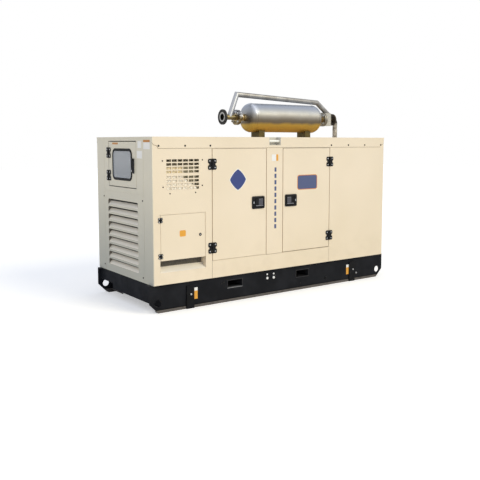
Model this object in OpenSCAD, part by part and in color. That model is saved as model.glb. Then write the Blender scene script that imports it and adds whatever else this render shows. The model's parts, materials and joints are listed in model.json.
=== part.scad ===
// Enclosed gas generator set: a sheet-metal acoustic canopy on a steel skid base,
// with the exhaust silencer and its bypass pipe on the roof.
// The floor is z = 0. +X runs from the intake end to the outlet end, and the service side faces -Y.

/* [Canopy] */
// Length of the canopy over its two end faces
canopy_l = 2885; // [2700:5:3300]
// Width of the canopy over its door faces
canopy_w = 1140; // [1000:5:1300]
// Height of the canopy above the base
canopy_h = 1300; // [1250:5:1450]
// Thickness of the canopy sheet
sheet_t = 2; // [1.5:0.5:3]
// How far each corner panel folds round onto an end face
corner_wrap = 160; // [120:5:180]
// Open seam between two fixed panels
panel_seam = 3; // [2:0.5:5]
// Width of the flat straps behind the seams of the end panels
strap_w = 40; // [30:2:60]
// Thickness of the acoustic lining
lining_t = 36; // [20:2:40]

/* [Roof] */
// Thickness of the roof sheet
roof_t = 3; // [2:0.5:4]
// Height of the roof's long side flanges
flange_h = 100; // [80:5:110]
// Height of the roof's end lips
end_lip_h = 16; // [10:1:30]
// Length of the curved cut at each end of a side flange
flange_cut = 56; // [40:2:80]
// Width of a lifting pocket
pocket_w = 144; // [100:2:170]
// Height of a lifting pocket
pocket_h = 78; // [60:2:90]
// Depth of a lifting pocket
pocket_d = 60; // [30:2:90]

/* [Service doors] */
// Width of the corner panel, from the intake end to the first door seam
corner_w = 615; // [590:1:640]
// Width of a service door between its seams
door_w = 627; // [580:1:660]
// Width of the pillar between the two service doors
pillar_w = 206; // [180:1:240]
// Height of the sill panel under the doors
sill_h = 160; // [130:2:200]
// Gap round a moving door
door_gap = 8; // [7:0.5:12]
// Depth of a door, from its face to its inner edge
door_d = 38; // [30:1:44]
// Clearance between a closed door and the frame behind it
seal_gap = 6; // [5.5:0.5:10]
// Thickness of the frame behind the doors
jamb_t = 6; // [4:0.5:10]
// Width of the frame that shows inside a doorway
jamb_w = 35; // [25:1:50]

/* [Hinges and latches] */
// Height of a door hinge
hinge_h = 100; // [80:2:120]
// Width of a door hinge over both leaves
hinge_w = 92; // [70:2:110]
// Thickness of a hinge leaf
hinge_leaf_t = 5; // [4:0.5:6]
// Outer radius of a hinge knuckle
knuckle_r = 7; // [6:0.5:9]
// Radius of a leaf's corners and of its notch, as a share of its height
hinge_round = 0.13; // [0.08:0.01:0.16]
// Radius of a hinge pin
hinge_pin_r = 3; // [2:0.25:4]
// Clearance at a hinge pin and between knuckles
pin_play = 0.3; // [0.2:0.05:0.6]
// Distance from a service door's lower seam up to its lower hinge's centre
hinge_low_in = 122; // [80:1:160]
// Distance from a service door's upper seam down to its upper hinge's centre
hinge_high_in = 148; // [100:1:200]
// Width of a paddle latch
latch_w = 148; // [130:1:160]
// Height of a paddle latch
latch_h = 120; // [100:1:140]
// How far a paddle latch stands out from the door
latch_t = 11; // [10:0.5:14]
// Distance from a door's free seam to the centre of its latch
latch_in = 101; // [95:1:130]
// Distance from a service door's upper seam down to its latch's centre
latch_down = 524; // [440:1:600]
// Corner radius of a latch's case
latch_r = 14; // [6:1:20]
// Width of the paddle
paddle_w = 92; // [70:1:100]
// Height of the paddle
paddle_h = 72; // [60:1:80]
// Thickness of the paddle
paddle_t = 5; // [4:0.5:5.5]
// Gap between the paddle and its case
paddle_gap = 5; // [5:0.5:8]
// Width of the case between the paddle's well and the door's free edge
paddle_side = 12; // [10:0.5:16]
// Distance from the paddle's upper edge down to its pin
paddle_pin_in = 6; // [4:0.5:10]
// Radius of the paddle's pin
paddle_pin_r = 2; // [1.5:0.25:2.25]
// How deep the paddle's pin reaches into its case at each side
paddle_pin_seat = 5; // [3:0.5:8]
// Diameter of the key lock beside the paddle
lock_d = 22; // [16:1:24]
// How far the key lock stands out from its case
lock_out = 2; // [1:0.25:2.5]

/* [Inlet grille] */
// Distance from the intake end to the first column of slots
grille_x = 138; // [120:1:160]
// Distance from the roof's side flange down to the highest slots
grille_down = 97; // [60:1:140]
// Width of a slot
grille_slot_w = 49; // [36:1:52]
// Height of a slot
grille_slot_h = 22; // [12:1:24]
// Distance from one column of slots to the next
grille_pitch_x = 57; // [54:1:62]
// Distance from one row of slots to the next
grille_pitch_z = 33; // [28:1:36]
// Plain band between the two blocks of slots
grille_band = 26; // [20:1:40]
// Depth of the baffle tray behind the grille
baffle_d = 60; // [40:2:90]
// How far the baffle tray reaches beyond the slots
baffle_margin = 34; // [20:1:40]

/* [Power cabinet] */
// Distance from the intake end to the cabinet door's hinge seam
cabinet_x = 73; // [60:1:90]
// Distance from the cabinet door's free seam to the service door's seam
cabinet_far = 76; // [60:1:100]
// Height of the cabinet door's lower seam above the canopy's bottom
cabinet_z = 209; // [190:1:230]
// Height of the cabinet door between its seams
cabinet_h = 411; // [360:1:440]
// Depth of the cabinet and of the cable recess under it
cabinet_d = 250; // [180:5:300]
// Depth of the cabinet door
cabinet_door_d = 20; // [16:1:30]
// Height of the cable recess floor above the canopy's bottom
cable_z = 106; // [90:1:130]
// Height of a cabinet hinge
small_hinge_h = 44; // [36:1:56]
// Width of a cabinet hinge over both leaves
small_hinge_w = 45; // [36:1:54]
// Distance from the cabinet door's seams in to its hinges' centres
small_hinge_in = 46; // [34:1:70]

/* [Control door] */
// Distance from the service face to the control door's free seam
control_y = 300; // [270:1:330]
// Distance from the control door's hinge seam to the back face
control_far_in = 267; // [240:1:300]
// Distance from the canopy's top down to the control door's upper seam
control_down = 40; // [30:1:60]
// Height of the control door between its seams
control_h = 424; // [380:1:430]
// Depth of the control door
control_door_d = 24; // [20:1:30]
// Depth of the control compartment behind the end face
control_d = 170; // [120:5:240]
// Distance from the door's free seam to the window gasket
window_in = 79; // [70:1:90]
// Distance from the window gasket to the door's hinge seam
window_far = 85; // [76:1:110]
// Distance from the window gasket up to the door's upper seam
window_down = 66; // [50:1:90]
// Distance from the door's lower seam to the window gasket
window_up = 62; // [50:1:90]
// Visible width of the gasket
gasket_w = 26; // [16:1:34]
// Outer corner radius of the gasket
gasket_r = 58; // [40:1:70]
// How far the gasket stands out from the door
gasket_t = 6; // [3:0.5:10]
// How far the gasket's inner lip holds the pane
gasket_lip = 3; // [2:0.5:6]
// Thickness of the window pane
glass_t = 5; // [4:0.5:8]
// Distance from the door's lower seam up to its lower hinge's centre
control_hinge_up = 100; // [80:1:130]
// Distance from the door's upper seam down to its upper hinge's centre
control_hinge_down = 108; // [80:1:130]
// Length of the control door handle
handle_l = 134; // [110:1:150]
// Width of the handle
handle_w = 22; // [16:1:28]
// Thickness of the handle's grip
handle_t = 9; // [6:0.5:12]
// Distance from the control door's free seam to the handle's centre line
handle_in = 51; // [44:1:56]
// Height of the handle's pivot above the control door's lower seam
handle_up = 258; // [240:1:280]
// How far the handle reaches above its pivot
handle_over = 18; // [14:1:24]
// Thickness of the handle's back plate
handle_plate_t = 4; // [3:0.5:6]
// Gap between the handle and its back plate
handle_gap = 8; // [7:0.5:12]
// Radius of the handle's spindle
spindle_r = 7; // [5:0.5:9]

/* [Louvres] */
// Distance from the service face to the louvres
louvre_y = 275; // [250:1:300]
// Distance from the intake louvres to the back face
louvre_far = 235; // [210:1:270]
// Height of the lowest louvre's lower edge above the canopy's bottom
louvre_z = 70; // [50:1:90]
// Height of one louvre opening
louvre_h = 55; // [40:1:60]
// Distance from one louvre to the next
louvre_pitch = 73; // [68:1:80]
// How deep each blade reaches inwards
louvre_d = 40; // [30:1:50]
// Gap over the inner edge of each blade
louvre_gap = 9; // [6:1:14]
// Corner radius of a louvre opening
louvre_r = 22; // [10:1:24]
// Least plain height between the intake louvres and their panel's upper seam
intake_head = 30; // [10:1:60]
// Least plain height between the outlet louvres and the roof
outlet_head = 190; // [160:1:210]
// Distance from the control door's lower seam down to the louvre panel's seam
louvre_seam_down = 51; // [40:1:60]

/* [Base] */
// Height of the skid base
base_h = 255; // [220:5:320]
// How far the base reaches beyond the canopy at each end
base_overhang = 31; // [25:1:60]
// How far the base is set back under the canopy at each side
base_recess = 25; // [16:1:50]
// Thickness of the base plates
base_t = 6; // [5:0.5:10]
// Width of the base beams' flanges
base_flange_w = 60; // [50:1:90]
// Size of the chamfer under each beam end
base_chamfer = 88; // [60:2:110]
// Diameter of the lifting holes
lug_d = 66; // [40:1:72]
// Distance from a beam end to its lifting hole
lug_in = 82; // [70:1:110]
// Height of the lifting holes above the floor
lug_z = 88; // [75:1:110]
// Distance from a beam end back to the cross plate
end_setback = 35; // [33:1:60]
// Height of the cross plates' lower edge above the floor
end_raise = 82; // [40:1:110]
// Width of the notch in a cross plate's lower corner, beside a lifting hole
end_notch_w = 270; // [200:5:320]
// Height of that notch's upper edge above the floor
end_notch_z = 138; // [125:1:180]
// Thickness of the floor sheet in the base
deck_t = 4; // [3:0.5:6]
// Width of a cross member under the floor sheet
cross_w = 60; // [40:2:90]
// Distance from a fork pocket's centre out to the next cross member
cross_out = 430; // [300:5:600]
// Width of a fork pocket outside
fork_w = 178; // [150:2:220]
// Height of a fork pocket outside
fork_h = 80; // [55:1:90]
// Wall of a fork pocket
fork_wall = 5; // [4:0.5:8]
// Height of the fork pockets above the floor
fork_z = 128; // [100:1:150]
// Distance from the intake end to the first fork pocket's centre
fork_a_x = 887; // [800:1:950]
// Distance from the intake end to the second fork pocket's centre
fork_b_x = 1735; // [1650:1:1850]
// Width of an upright pad on a beam
pad_w = 80; // [60:1:110]
// Height of an upright pad
pad_h = 213; // [180:1:218]
// Thickness of an upright pad
pad_t = 12; // [6:1:15]
// Distance from the intake end to the first pad's centre
pad_a_x = 384; // [340:1:420]
// Distance from the intake end to the second pad's centre
pad_b_x = 2440; // [2380:1:2500]

/* [Engine and alternator] */
// Height of the mounting rails
rail_h = 80; // [60:2:100]
// Width of a mounting rail
rail_w = 60; // [50:2:80]
// Distance between the rails' middles
rail_gauge = 440; // [420:5:480]
// Height of the shaft above the canopy's bottom
shaft_z = 330; // [310:5:360]
// Distance from the intake end to the alternator's outer end
alternator_x = 610; // [590:5:640]
// Length of the alternator
alternator_l = 400; // [360:5:440]
// Diameter of the alternator's frame
alternator_d = 400; // [360:5:420]
// Length of the flywheel housing
bell_l = 90; // [70:2:120]
// Length of the engine block
engine_l = 690; // [640:5:740]
// Width of the crankcase
engine_w = 340; // [300:5:360]
// Width of the cylinder head
head_w = 230; // [200:5:260]
// Height of the crankcase's shoulder above the shaft
shoulder_up = 90; // [70:5:120]
// Height of the cylinder head's joint above the shaft
head_up = 250; // [220:5:280]
// Height of the cylinder head and its cover
head_h = 130; // [110:5:150]
// Number of cylinders
cylinders = 6; // [4:1:6]
// Diameter of the intake manifold
manifold_d = 84; // [70:2:100]

/* [Silencer] */
// Diameter of the silencer vessel
vessel_d = 300; // [260:2:320]
// Length of the vessel's straight shell
vessel_l = 852; // [780:2:860]
// Distance from the intake end to the middle of the vessel
vessel_x = 1892; // [1880:1:1910]
// Height of the vessel's axis above the canopy roof
vessel_up = 207; // [190:1:230]
// Depth of each dished end
dish_h = 68; // [56:1:74]
// Knuckle radius of each dished end
dish_knuckle = 52; // [40:1:54]
// Length of a saddle along the vessel
saddle_l = 76; // [60:1:100]
// Width of a saddle across the vessel
saddle_w = 138; // [120:1:180]
// Distance from the middle of the vessel to each saddle's middle
saddle_out = 320; // [300:1:340]

/* [Exhaust pipework] */
// Outer diameter of the exhaust pipe
pipe_d = 54; // [48:1:60]
// Wall of the exhaust pipe
pipe_wall = 4; // [3:0.5:6]
// Diameter of the pipe flanges
pipe_flange_d = 156; // [150:1:170]
// Thickness of a pipe flange
pipe_flange_t = 14; // [10:1:16]
// Bolt circle of the pipe flanges
flange_pcd = 120; // [115:1:125]
// Diameter of the flange bolt holes
flange_hole_d = 14; // [12:1:16]
// Number of bolt holes in a flange
flange_holes = 4; // [4:4:8]
// Distance from the intake end to the open outlet flange's face
outlet_x = 1113; // [1090:1:1130]
// Distance from the intake end to the joint of the bolted flange pair
joint_x = 1294; // [1280:1:1300]
// Diameter of the bypass pipe
bypass_d = 42; // [36:1:48]
// Distance from the intake end to the foot of the bypass pipe
bypass_foot_x = 1206; // [1195:1:1220]
// Distance from the intake end to the bypass pipe's first corner
bypass_a_x = 1299; // [1280:1:1310]
// Height of the first corner above the canopy roof
bypass_a_up = 450; // [430:1:470]
// Distance from the intake end to the bypass pipe's second corner
bypass_b_x = 2403; // [2390:1:2420]
// Height of the second corner above the canopy roof
bypass_b_up = 402; // [390:1:420]
// Distance from the intake end to the valve box
valve_x = 2505; // [2498:1:2515]
// Distance from the valve box's near face to the middle of the bypass pipe's lower end
landing_in = 42; // [40:1:50]
// Length of the valve box
valve_l = 92; // [80:1:100]
// Width of the valve box
valve_w = 60; // [50:1:80]
// Height of the valve box
valve_h = 144; // [120:1:150]
// Distance from the intake end to the flexible hose
hose_x = 2688; // [2670:1:2700]
// Outer diameter of the flexible hose
hose_d = 56; // [48:1:64]
// Depth of a corrugation
hose_rib = 4; // [2:0.5:6]
// Distance from one corrugation to the next
hose_pitch = 15; // [12:1:20]

/* [Hidden] */

$fn = 48;
cut = 1;

cream = "#ecdfc6";
black = "#1d1e20";
steel = "#a9a7a2";
zinc = "#b9bab6";
foam = "#3a3b3c";

half_w = canopy_w / 2;
wall_h = canopy_h - roof_t;
doors_top = canopy_h - flange_h;
return_d = door_d + seal_gap + jamb_t;
left_seam = corner_w;
left_end_seam = corner_w + door_w;
right_end_seam = left_end_seam + pillar_w;
right_seam = right_end_seam + door_w;
hinge_out = knuckle_r;
hinge_low_z = sill_h + hinge_low_in;
hinge_high_z = doors_top - hinge_high_in;
latch_z = doors_top - latch_down;
jamb_y = door_d + seal_gap;

base_l = canopy_l + 2 * base_overhang;
beam_y = half_w - base_recess;
web_in = beam_y - base_t;
end_plate_x = base_l / 2 - end_setback;
deck_top = base_h - base_t;

grille_cols = 6;
grille_rows = 4;
grille_block_h = (grille_rows - 1) * grille_pitch_z + grille_slot_h;
grille_w = (grille_cols - 1) * grille_pitch_x + grille_slot_w;
grille_h = 2 * grille_block_h + grille_band;
grille_z = doors_top - grille_down - grille_h;

recess_top = cabinet_z - door_gap / 2;
cabinet_top = cabinet_z + cabinet_h;
cabinet_right = corner_w - cabinet_far;

control_far = canopy_w - control_far_in;
control_w = control_far - control_y;
control_top = canopy_h - control_down;
control_z = control_top - control_h;
window_w = control_w - window_in - window_far;
window_h = control_h - window_up - window_down;

louvre_w = canopy_w - louvre_y - louvre_far;
louvre_panel_h = control_z - louvre_seam_down;
louvre_room = louvre_z + louvre_h;
intake_louvres = floor((louvre_panel_h - louvre_room - intake_head) / louvre_pitch) + 1;
outlet_louvres = floor((wall_h - louvre_room - outlet_head) / louvre_pitch) + 1;

vessel_z = canopy_h + vessel_up;
vessel_r = vessel_d / 2;
crown_r = (pow(vessel_r - dish_knuckle, 2) + pow(dish_h, 2) - pow(dish_knuckle, 2))
    / (2 * (dish_h - dish_knuckle));
crown_a = asin((vessel_r - dish_knuckle) / (crown_r - dish_knuckle));
dish_left_x = vessel_x - vessel_l / 2 - dish_h;
dish_right_x = vessel_x + vessel_l / 2 + dish_h;

// Places a shape whose x runs from the intake end and whose z runs up from the canopy's bottom
module in_canopy() {
    translate([-canopy_l / 2, 0, base_h]) children();
}

// A box from one corner to the opposite corner
module block(low, high) {
    translate(low) cube(high - low);
}

// Repeats a shape on the back side
module both_sides() {
    children();
    mirror([0, 1, 0]) children();
}

// Turns a flat shape drawn in x and z so that it stands in the service face and grows inwards
module upright(depth) {
    rotate([90, 0, 0]) mirror([0, 0, 1]) linear_extrude(depth) children();
}

// Turns a flat shape drawn in y and z so that it stands across the canopy and grows along +X
module across(depth) {
    rotate([90, 0, 90]) linear_extrude(depth) children();
}

// A rectangle with rounded corners, made of plain circles and squares
module round_rect(w, h, r) {
    translate([r, 0]) square([w - 2 * r, h]);
    translate([0, r]) square([w, h - 2 * r]);
    for (x = [r, w - r], y = [r, h - r]) translate([x, y]) circle(r);
}

// A bar along +X, with its axis on the given line
module x_rod(x, y, z, r, l) {
    translate([x, y, z]) rotate([0, 90, 0]) cylinder(r = r, h = l);
}

// Base

module beam_web() {
    difference() {
        polygon([[-base_l / 2, base_h], [-base_l / 2, base_chamfer], [-base_l / 2 + base_chamfer, 0],
            [base_l / 2 - base_chamfer, 0], [base_l / 2, base_chamfer], [base_l / 2, base_h]]);
        for (x = [fork_a_x, fork_b_x])
            translate([x - canopy_l / 2 - fork_w / 2, fork_z]) square([fork_w, fork_h]);
    }
}

module beam() {
    color(black) {
        difference() {
            translate([0, -beam_y, 0]) upright(base_t) beam_web();
            for (side = [-1, 1])
                translate([side * (base_l / 2 - lug_in), -beam_y - cut, lug_z])
                    rotate([-90, 0, 0]) cylinder(d = lug_d, h = base_t + 2 * cut);
        }
        block([-base_l / 2 + base_chamfer, -web_in, 0],
            [base_l / 2 - base_chamfer, -beam_y + base_flange_w, base_t]);
        block([-base_l / 2, -web_in, base_h - base_t], [base_l / 2, -beam_y + base_flange_w, base_h]);
    }
}

module base_beam_front() {
    beam();
}

module base_beam_back() {
    mirror([0, 1, 0]) beam();
}

// One plate serves both ends, turned by half a turn, so its notch is at the left from outside
module base_end_plates() {
    shoulder = beam_y - base_flange_w;
    color(black) for (turn = [0, 180])
        rotate([0, 0, turn]) translate([-end_plate_x, 0, 0])
            across(base_t) polygon([[-web_in, end_raise], [web_in - end_notch_w, end_raise],
                [web_in - end_notch_w, end_notch_z], [web_in, end_notch_z],
                [web_in, base_h - base_t], [shoulder, base_h - base_t], [shoulder, base_h],
                [-shoulder, base_h], [-shoulder, base_h - base_t], [-web_in, base_h - base_t]]);
}

module base_deck() {
    inner_x = end_plate_x - base_t;
    color(black) block([-inner_x, -web_in, deck_top - deck_t], [inner_x, web_in, deck_top]);
}

module base_cross_members() {
    middle = (fork_a_x + fork_b_x) / 2;
    color(black) for (x = [fork_a_x - cross_out, middle, fork_b_x + cross_out])
        translate([x - canopy_l / 2, 0, 0])
            block([-cross_w / 2, -web_in, fork_z + fork_h], [cross_w / 2, web_in, deck_top - deck_t]);
}

module fork_pockets() {
    color(black) for (x = [fork_a_x, fork_b_x])
        translate([x - canopy_l / 2 - fork_w / 2, -beam_y, fork_z])
            difference() {
                cube([fork_w, 2 * beam_y, fork_h]);
                block([fork_wall, -cut, fork_wall],
                    [fork_w - fork_wall, 2 * beam_y + cut, fork_h - fork_wall]);
            }
}

module base_pads() {
    color(black) both_sides() for (x = [pad_a_x, pad_b_x])
        block([x - canopy_l / 2 - pad_w / 2, -beam_y - pad_t, 0],
            [x - canopy_l / 2 + pad_w / 2, -beam_y, pad_h]);
}

// Canopy walls

// Corner panel folded round the intake end, with a return beside the doorway
module corner_sheet() {
    edge = left_seam - door_gap / 2;
    block([0, -half_w, 0], [edge, -half_w + sheet_t, wall_h]);
    block([0, -half_w, 0], [sheet_t, -half_w + corner_wrap, wall_h]);
    block([edge - sheet_t, -half_w, 0], [edge, -half_w + return_d, wall_h]);
}

// Corner panel folded round the outlet end, with a return beside the doorway
module outlet_sheet() {
    edge = right_seam + door_gap / 2;
    block([edge, -half_w, 0], [canopy_l, -half_w + sheet_t, wall_h]);
    block([canopy_l - sheet_t, -half_w, 0], [canopy_l, -half_w + corner_wrap, wall_h]);
    block([edge, -half_w, 0], [edge + sheet_t, -half_w + return_d, wall_h]);
}

module grille_slots() {
    for (col = [0 : grille_cols - 1], row = [0 : grille_rows - 1], upper = [0, 1])
        translate([grille_x + col * grille_pitch_x, -half_w - cut,
            grille_z + row * grille_pitch_z + upper * (grille_block_h + grille_band)])
            cube([grille_slot_w, sheet_t + 2 * cut, grille_slot_h]);
}

module corner_panel() {
    color(cream) in_canopy() difference() {
        corner_sheet();
        grille_slots();
        block([cabinet_x - door_gap / 2, -half_w - cut, cable_z],
            [cabinet_right + door_gap / 2, -half_w + sheet_t + cut, cabinet_top + door_gap / 2]);
        lifting_notch(left_seam);
    }
}

module outlet_side_panel() {
    color(cream) in_canopy() outlet_sheet();
}

// Sill under the two doorways, with a return along its top edge
module sill_sheet() {
    low_x = left_seam - door_gap / 2 + panel_seam;
    high_x = right_seam + door_gap / 2 - panel_seam;
    top = sill_h - door_gap / 2;
    block([low_x, -half_w, 0], [high_x, -half_w + sheet_t, top]);
    block([low_x, -half_w, top - sheet_t], [high_x, -half_w + return_d, top]);
}

module door_sill() {
    color(cream) in_canopy() sill_sheet();
}

// Pillar between the doorways, a channel open to the inside
module pillar_sheet() {
    low_x = left_end_seam + door_gap / 2;
    high_x = right_end_seam - door_gap / 2;
    base_z = sill_h - door_gap / 2 + panel_seam;
    block([low_x, -half_w, base_z], [high_x, -half_w + sheet_t, wall_h]);
    block([low_x, -half_w, base_z], [low_x + sheet_t, -half_w + return_d, wall_h]);
    block([high_x - sheet_t, -half_w, base_z], [high_x, -half_w + return_d, wall_h]);
}

module lifting_notch(x) {
    block([x - pocket_w / 2, -half_w - roof_t - cut, canopy_h - pocket_h],
        [x + pocket_w / 2, -half_w + pocket_d, canopy_h + cut]);
}

pillar_mid = (left_end_seam + right_end_seam) / 2;

module door_pillar() {
    color(cream) in_canopy() difference() {
        pillar_sheet();
        lifting_notch(pillar_mid);
    }
}

// Frame behind one doorway, between the returns beside it
module doorway_frame(low_x, high_x) {
    low_z = sill_h - door_gap / 2;
    clear_top = doors_top - jamb_w;
    difference() {
        block([low_x, -half_w + jamb_y, low_z], [high_x, -half_w + jamb_y + jamb_t, wall_h]);
        block([low_x + jamb_w, -half_w + jamb_y - cut, low_z + jamb_w],
            [high_x - jamb_w, -half_w + jamb_y + jamb_t + cut, clear_top]);
    }
}

module both_frames() {
    doorway_frame(left_seam - door_gap / 2, left_end_seam + door_gap / 2);
    doorway_frame(right_end_seam - door_gap / 2, right_seam + door_gap / 2);
}

module door_frames() {
    color(cream) in_canopy() both_sides() both_frames();
}

module back_panels() {
    color(cream) in_canopy() mirror([0, 1, 0]) {
        corner_sheet();
        outlet_sheet();
        sill_sheet();
        difference() {
            pillar_sheet();
            lifting_notch(pillar_mid);
        }
    }
}

// Doors

// A folded sheet tray, open to the inside
module door_tray(low_x, high_x, low_z, high_z, depth) {
    difference() {
        block([low_x, 0, low_z], [high_x, depth, high_z]);
        block([low_x + sheet_t, sheet_t, low_z + sheet_t],
            [high_x - sheet_t, depth + cut, high_z - sheet_t]);
    }
}

module service_door(low_seam, high_seam) {
    translate([0, -half_w, 0])
        door_tray(low_seam + door_gap / 2, high_seam - door_gap / 2, sill_h + door_gap / 2,
            doors_top - door_gap, door_d);
}

module service_lining(low_seam, high_seam) {
    block([low_seam + door_gap / 2 + sheet_t, -half_w + sheet_t, sill_h + door_gap / 2 + sheet_t],
        [high_seam - door_gap / 2 - sheet_t, -half_w + min(lining_t, door_d),
            doors_top - door_gap - sheet_t]);
}

module left_door() {
    color(cream) in_canopy() service_door(left_seam, left_end_seam);
}

module left_door_lining() {
    color(foam) in_canopy() service_lining(left_seam, left_end_seam);
}

module right_door() {
    color(cream) in_canopy() service_door(right_end_seam, right_seam);
}

module right_door_lining() {
    color(foam) in_canopy() service_lining(right_end_seam, right_seam);
}

module back_doors() {
    color(cream) in_canopy() mirror([0, 1, 0]) {
        service_door(left_seam, left_end_seam);
        service_door(right_end_seam, right_seam);
    }
}

// Hinges: x is along the wall, the wall's face is y = 0 and the knuckles stand in front of it

// Outline of a leaf with two lobes, from beside its knuckles out to its notched far edge
module leaf_outline(w, h) {
    r = hinge_round * h;
    tip = w / 2;
    polygon(concat([[knuckle_r + 1, h / 2], [knuckle_r + 1, -h / 2]],
        [for (a = [0 : 22.5 : 90]) [tip - r + r * sin(a), -h / 2 + r - r * cos(a)]],
        [for (a = [0 : 22.5 : 180]) [tip - r * sin(a), -r * cos(a)]],
        [for (a = [90 : -22.5 : 0]) [tip - r + r * sin(a), h / 2 - r + r * cos(a)]]));
}

module leaf(w, h) {
    translate([0, -hinge_leaf_t, 0]) upright(hinge_leaf_t) leaf_outline(w, h);
}

// Leaf with the middle knuckle, on the side of the frame at negative x
module frame_leaf(w, h) {
    difference() {
        union() {
            mirror([1, 0, 0]) leaf(w, h);
            block([-knuckle_r - 1, -hinge_leaf_t, -h / 6], [0, -hinge_leaf_t + 2, h / 6]);
            translate([0, -hinge_out, -h / 6]) cylinder(r = knuckle_r, h = h / 3);
        }
        translate([0, -hinge_out, -h / 6 - cut])
            cylinder(r = hinge_pin_r + pin_play, h = h / 3 + 2 * cut);
    }
}

// Leaf with the two outer knuckles and the pin, on the side of the door at positive x
module door_leaf(w, h) {
    knuckle_h = h / 3 - pin_play;
    leaf(w, h);
    for (z = [-h / 2, h / 2 - knuckle_h]) {
        block([0, -hinge_leaf_t, z], [knuckle_r + 1, -hinge_leaf_t + 2, z + knuckle_h]);
        translate([0, -hinge_out, z]) cylinder(r = knuckle_r, h = knuckle_h);
    }
    translate([0, -hinge_out, -h / 2]) cylinder(r = hinge_pin_r, h = h);
}

module at_service_hinges(seam) {
    for (z = [hinge_low_z, hinge_high_z]) translate([seam, -half_w, z]) children();
}

small_hinge_low = cabinet_z + small_hinge_in;
small_hinge_high = cabinet_top - small_hinge_in;

module at_cabinet_hinges() {
    for (z = [small_hinge_low, small_hinge_high]) translate([cabinet_x, -half_w, z]) children();
}

control_hinge_low = control_z + control_hinge_up;
control_hinge_high = control_top - control_hinge_down;

// The intake end's wall, with x running away from the hinge seam towards the service side
module at_control_hinges() {
    for (z = [control_hinge_low, control_hinge_high])
        translate([0, -half_w + control_far, z]) rotate([0, 0, -90]) children();
}

module fixed_hinge_leaves() {
    color(black) in_canopy() {
        at_service_hinges(left_seam) frame_leaf(hinge_w, hinge_h);
        at_service_hinges(right_seam) mirror([1, 0, 0]) frame_leaf(hinge_w, hinge_h);
        at_cabinet_hinges() frame_leaf(small_hinge_w, small_hinge_h);
        at_control_hinges() frame_leaf(hinge_w, hinge_h);
    }
}

module left_door_hinges() {
    color(black) in_canopy() at_service_hinges(left_seam) door_leaf(hinge_w, hinge_h);
}

module right_door_hinges() {
    color(black) in_canopy()
        at_service_hinges(right_seam) mirror([1, 0, 0]) door_leaf(hinge_w, hinge_h);
}

module power_door_hinges() {
    color(black) in_canopy() at_cabinet_hinges() door_leaf(small_hinge_w, small_hinge_h);
}

module control_door_hinges() {
    color(black) in_canopy() at_control_hinges() door_leaf(hinge_w, hinge_h);
}

// Paddle latches: x and z are centred on the case, the door's face is y = 0 and its free edge is at +x

well_w = paddle_w + 2 * paddle_gap;
well_low_x = latch_w / 2 - paddle_side - well_w;
paddle_x = well_low_x + well_w / 2;
paddle_pin_z = paddle_h / 2 - paddle_pin_in;
paddle_y = -latch_t + paddle_t / 2;

module latch_case() {
    well_z = paddle_h / 2 + paddle_gap;
    seat = paddle_pin_seat + pin_play;
    difference() {
        union() {
            translate([-latch_w / 2, 0, -latch_h / 2]) mirror([0, 1, 0]) upright(latch_t)
                round_rect(latch_w, latch_h, latch_r);
            translate([(well_low_x - latch_w / 2) / 2, 0, 0]) rotate([90, 0, 0])
                cylinder(d = lock_d, h = latch_t + lock_out);
        }
        block([well_low_x, -latch_t - cut, -well_z], [well_low_x + well_w, cut, well_z]);
        x_rod(well_low_x - seat, paddle_y, paddle_pin_z, paddle_pin_r + pin_play, well_w + 2 * seat);
    }
}

module paddle() {
    translate([paddle_x - paddle_w / 2, -latch_t, -paddle_h / 2]) cube([paddle_w, paddle_t, paddle_h]);
    x_rod(well_low_x - paddle_pin_seat, paddle_y, paddle_pin_z, paddle_pin_r,
        well_w + 2 * paddle_pin_seat);
}

module at_left_latch() {
    translate([left_end_seam - latch_in, -half_w, latch_z]) children();
}

module at_right_latch() {
    translate([right_end_seam + latch_in, -half_w, latch_z]) mirror([1, 0, 0]) children();
}

module left_latch() {
    color(black) in_canopy() at_left_latch() latch_case();
}

module left_paddle() {
    color(black) in_canopy() at_left_latch() paddle();
}

module right_latch() {
    color(black) in_canopy() at_right_latch() latch_case();
}

module right_paddle() {
    color(black) in_canopy() at_right_latch() paddle();
}

module back_fittings() {
    color(black) in_canopy() mirror([0, 1, 0]) {
        at_left_latch() {
            latch_case();
            paddle();
        }
        at_right_latch() {
            latch_case();
            paddle();
        }
        at_service_hinges(left_seam) {
            frame_leaf(hinge_w, hinge_h);
            door_leaf(hinge_w, hinge_h);
        }
        at_service_hinges(right_seam) mirror([1, 0, 0]) {
            frame_leaf(hinge_w, hinge_h);
            door_leaf(hinge_w, hinge_h);
        }
    }
}

// End walls

end_low_y = -half_w + corner_wrap + panel_seam;
end_high_y = half_w - corner_wrap - panel_seam;

// Openings of a column of louvres, drawn in y and z
module louvre_openings(count, low_y, low_z) {
    for (i = [0 : count - 1])
        translate([low_y, low_z + i * louvre_pitch]) round_rect(louvre_w, louvre_h, louvre_r);
}

// Blades that slope inwards and upwards behind the openings, carried by two side rails
module blades(count, low_y, low_z) {
    overlap = 8;
    rise = louvre_h - louvre_gap;
    for (i = [0 : count - 1])
        translate([0, low_y, low_z + i * louvre_pitch])
            rotate([90, 0, 0]) mirror([0, 0, 1]) linear_extrude(louvre_w + overlap)
                polygon([[sheet_t, -sheet_t], [louvre_d + sheet_t, rise - sheet_t],
                    [louvre_d + sheet_t, rise], [sheet_t, sheet_t]]);
    for (y = [low_y - overlap, low_y + louvre_w])
        block([sheet_t, y, low_z - 20],
            [louvre_d + 2 * sheet_t, y + overlap, low_z + count * louvre_pitch]);
}

module control_end_panel() {
    color(cream) in_canopy() across(sheet_t) difference() {
        translate([end_low_y, louvre_panel_h + panel_seam])
            square([end_high_y - end_low_y, wall_h - louvre_panel_h - panel_seam]);
        translate([-half_w + control_y - door_gap / 2, control_z - door_gap / 2])
            square([control_w + door_gap, control_h + door_gap]);
    }
}

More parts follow.
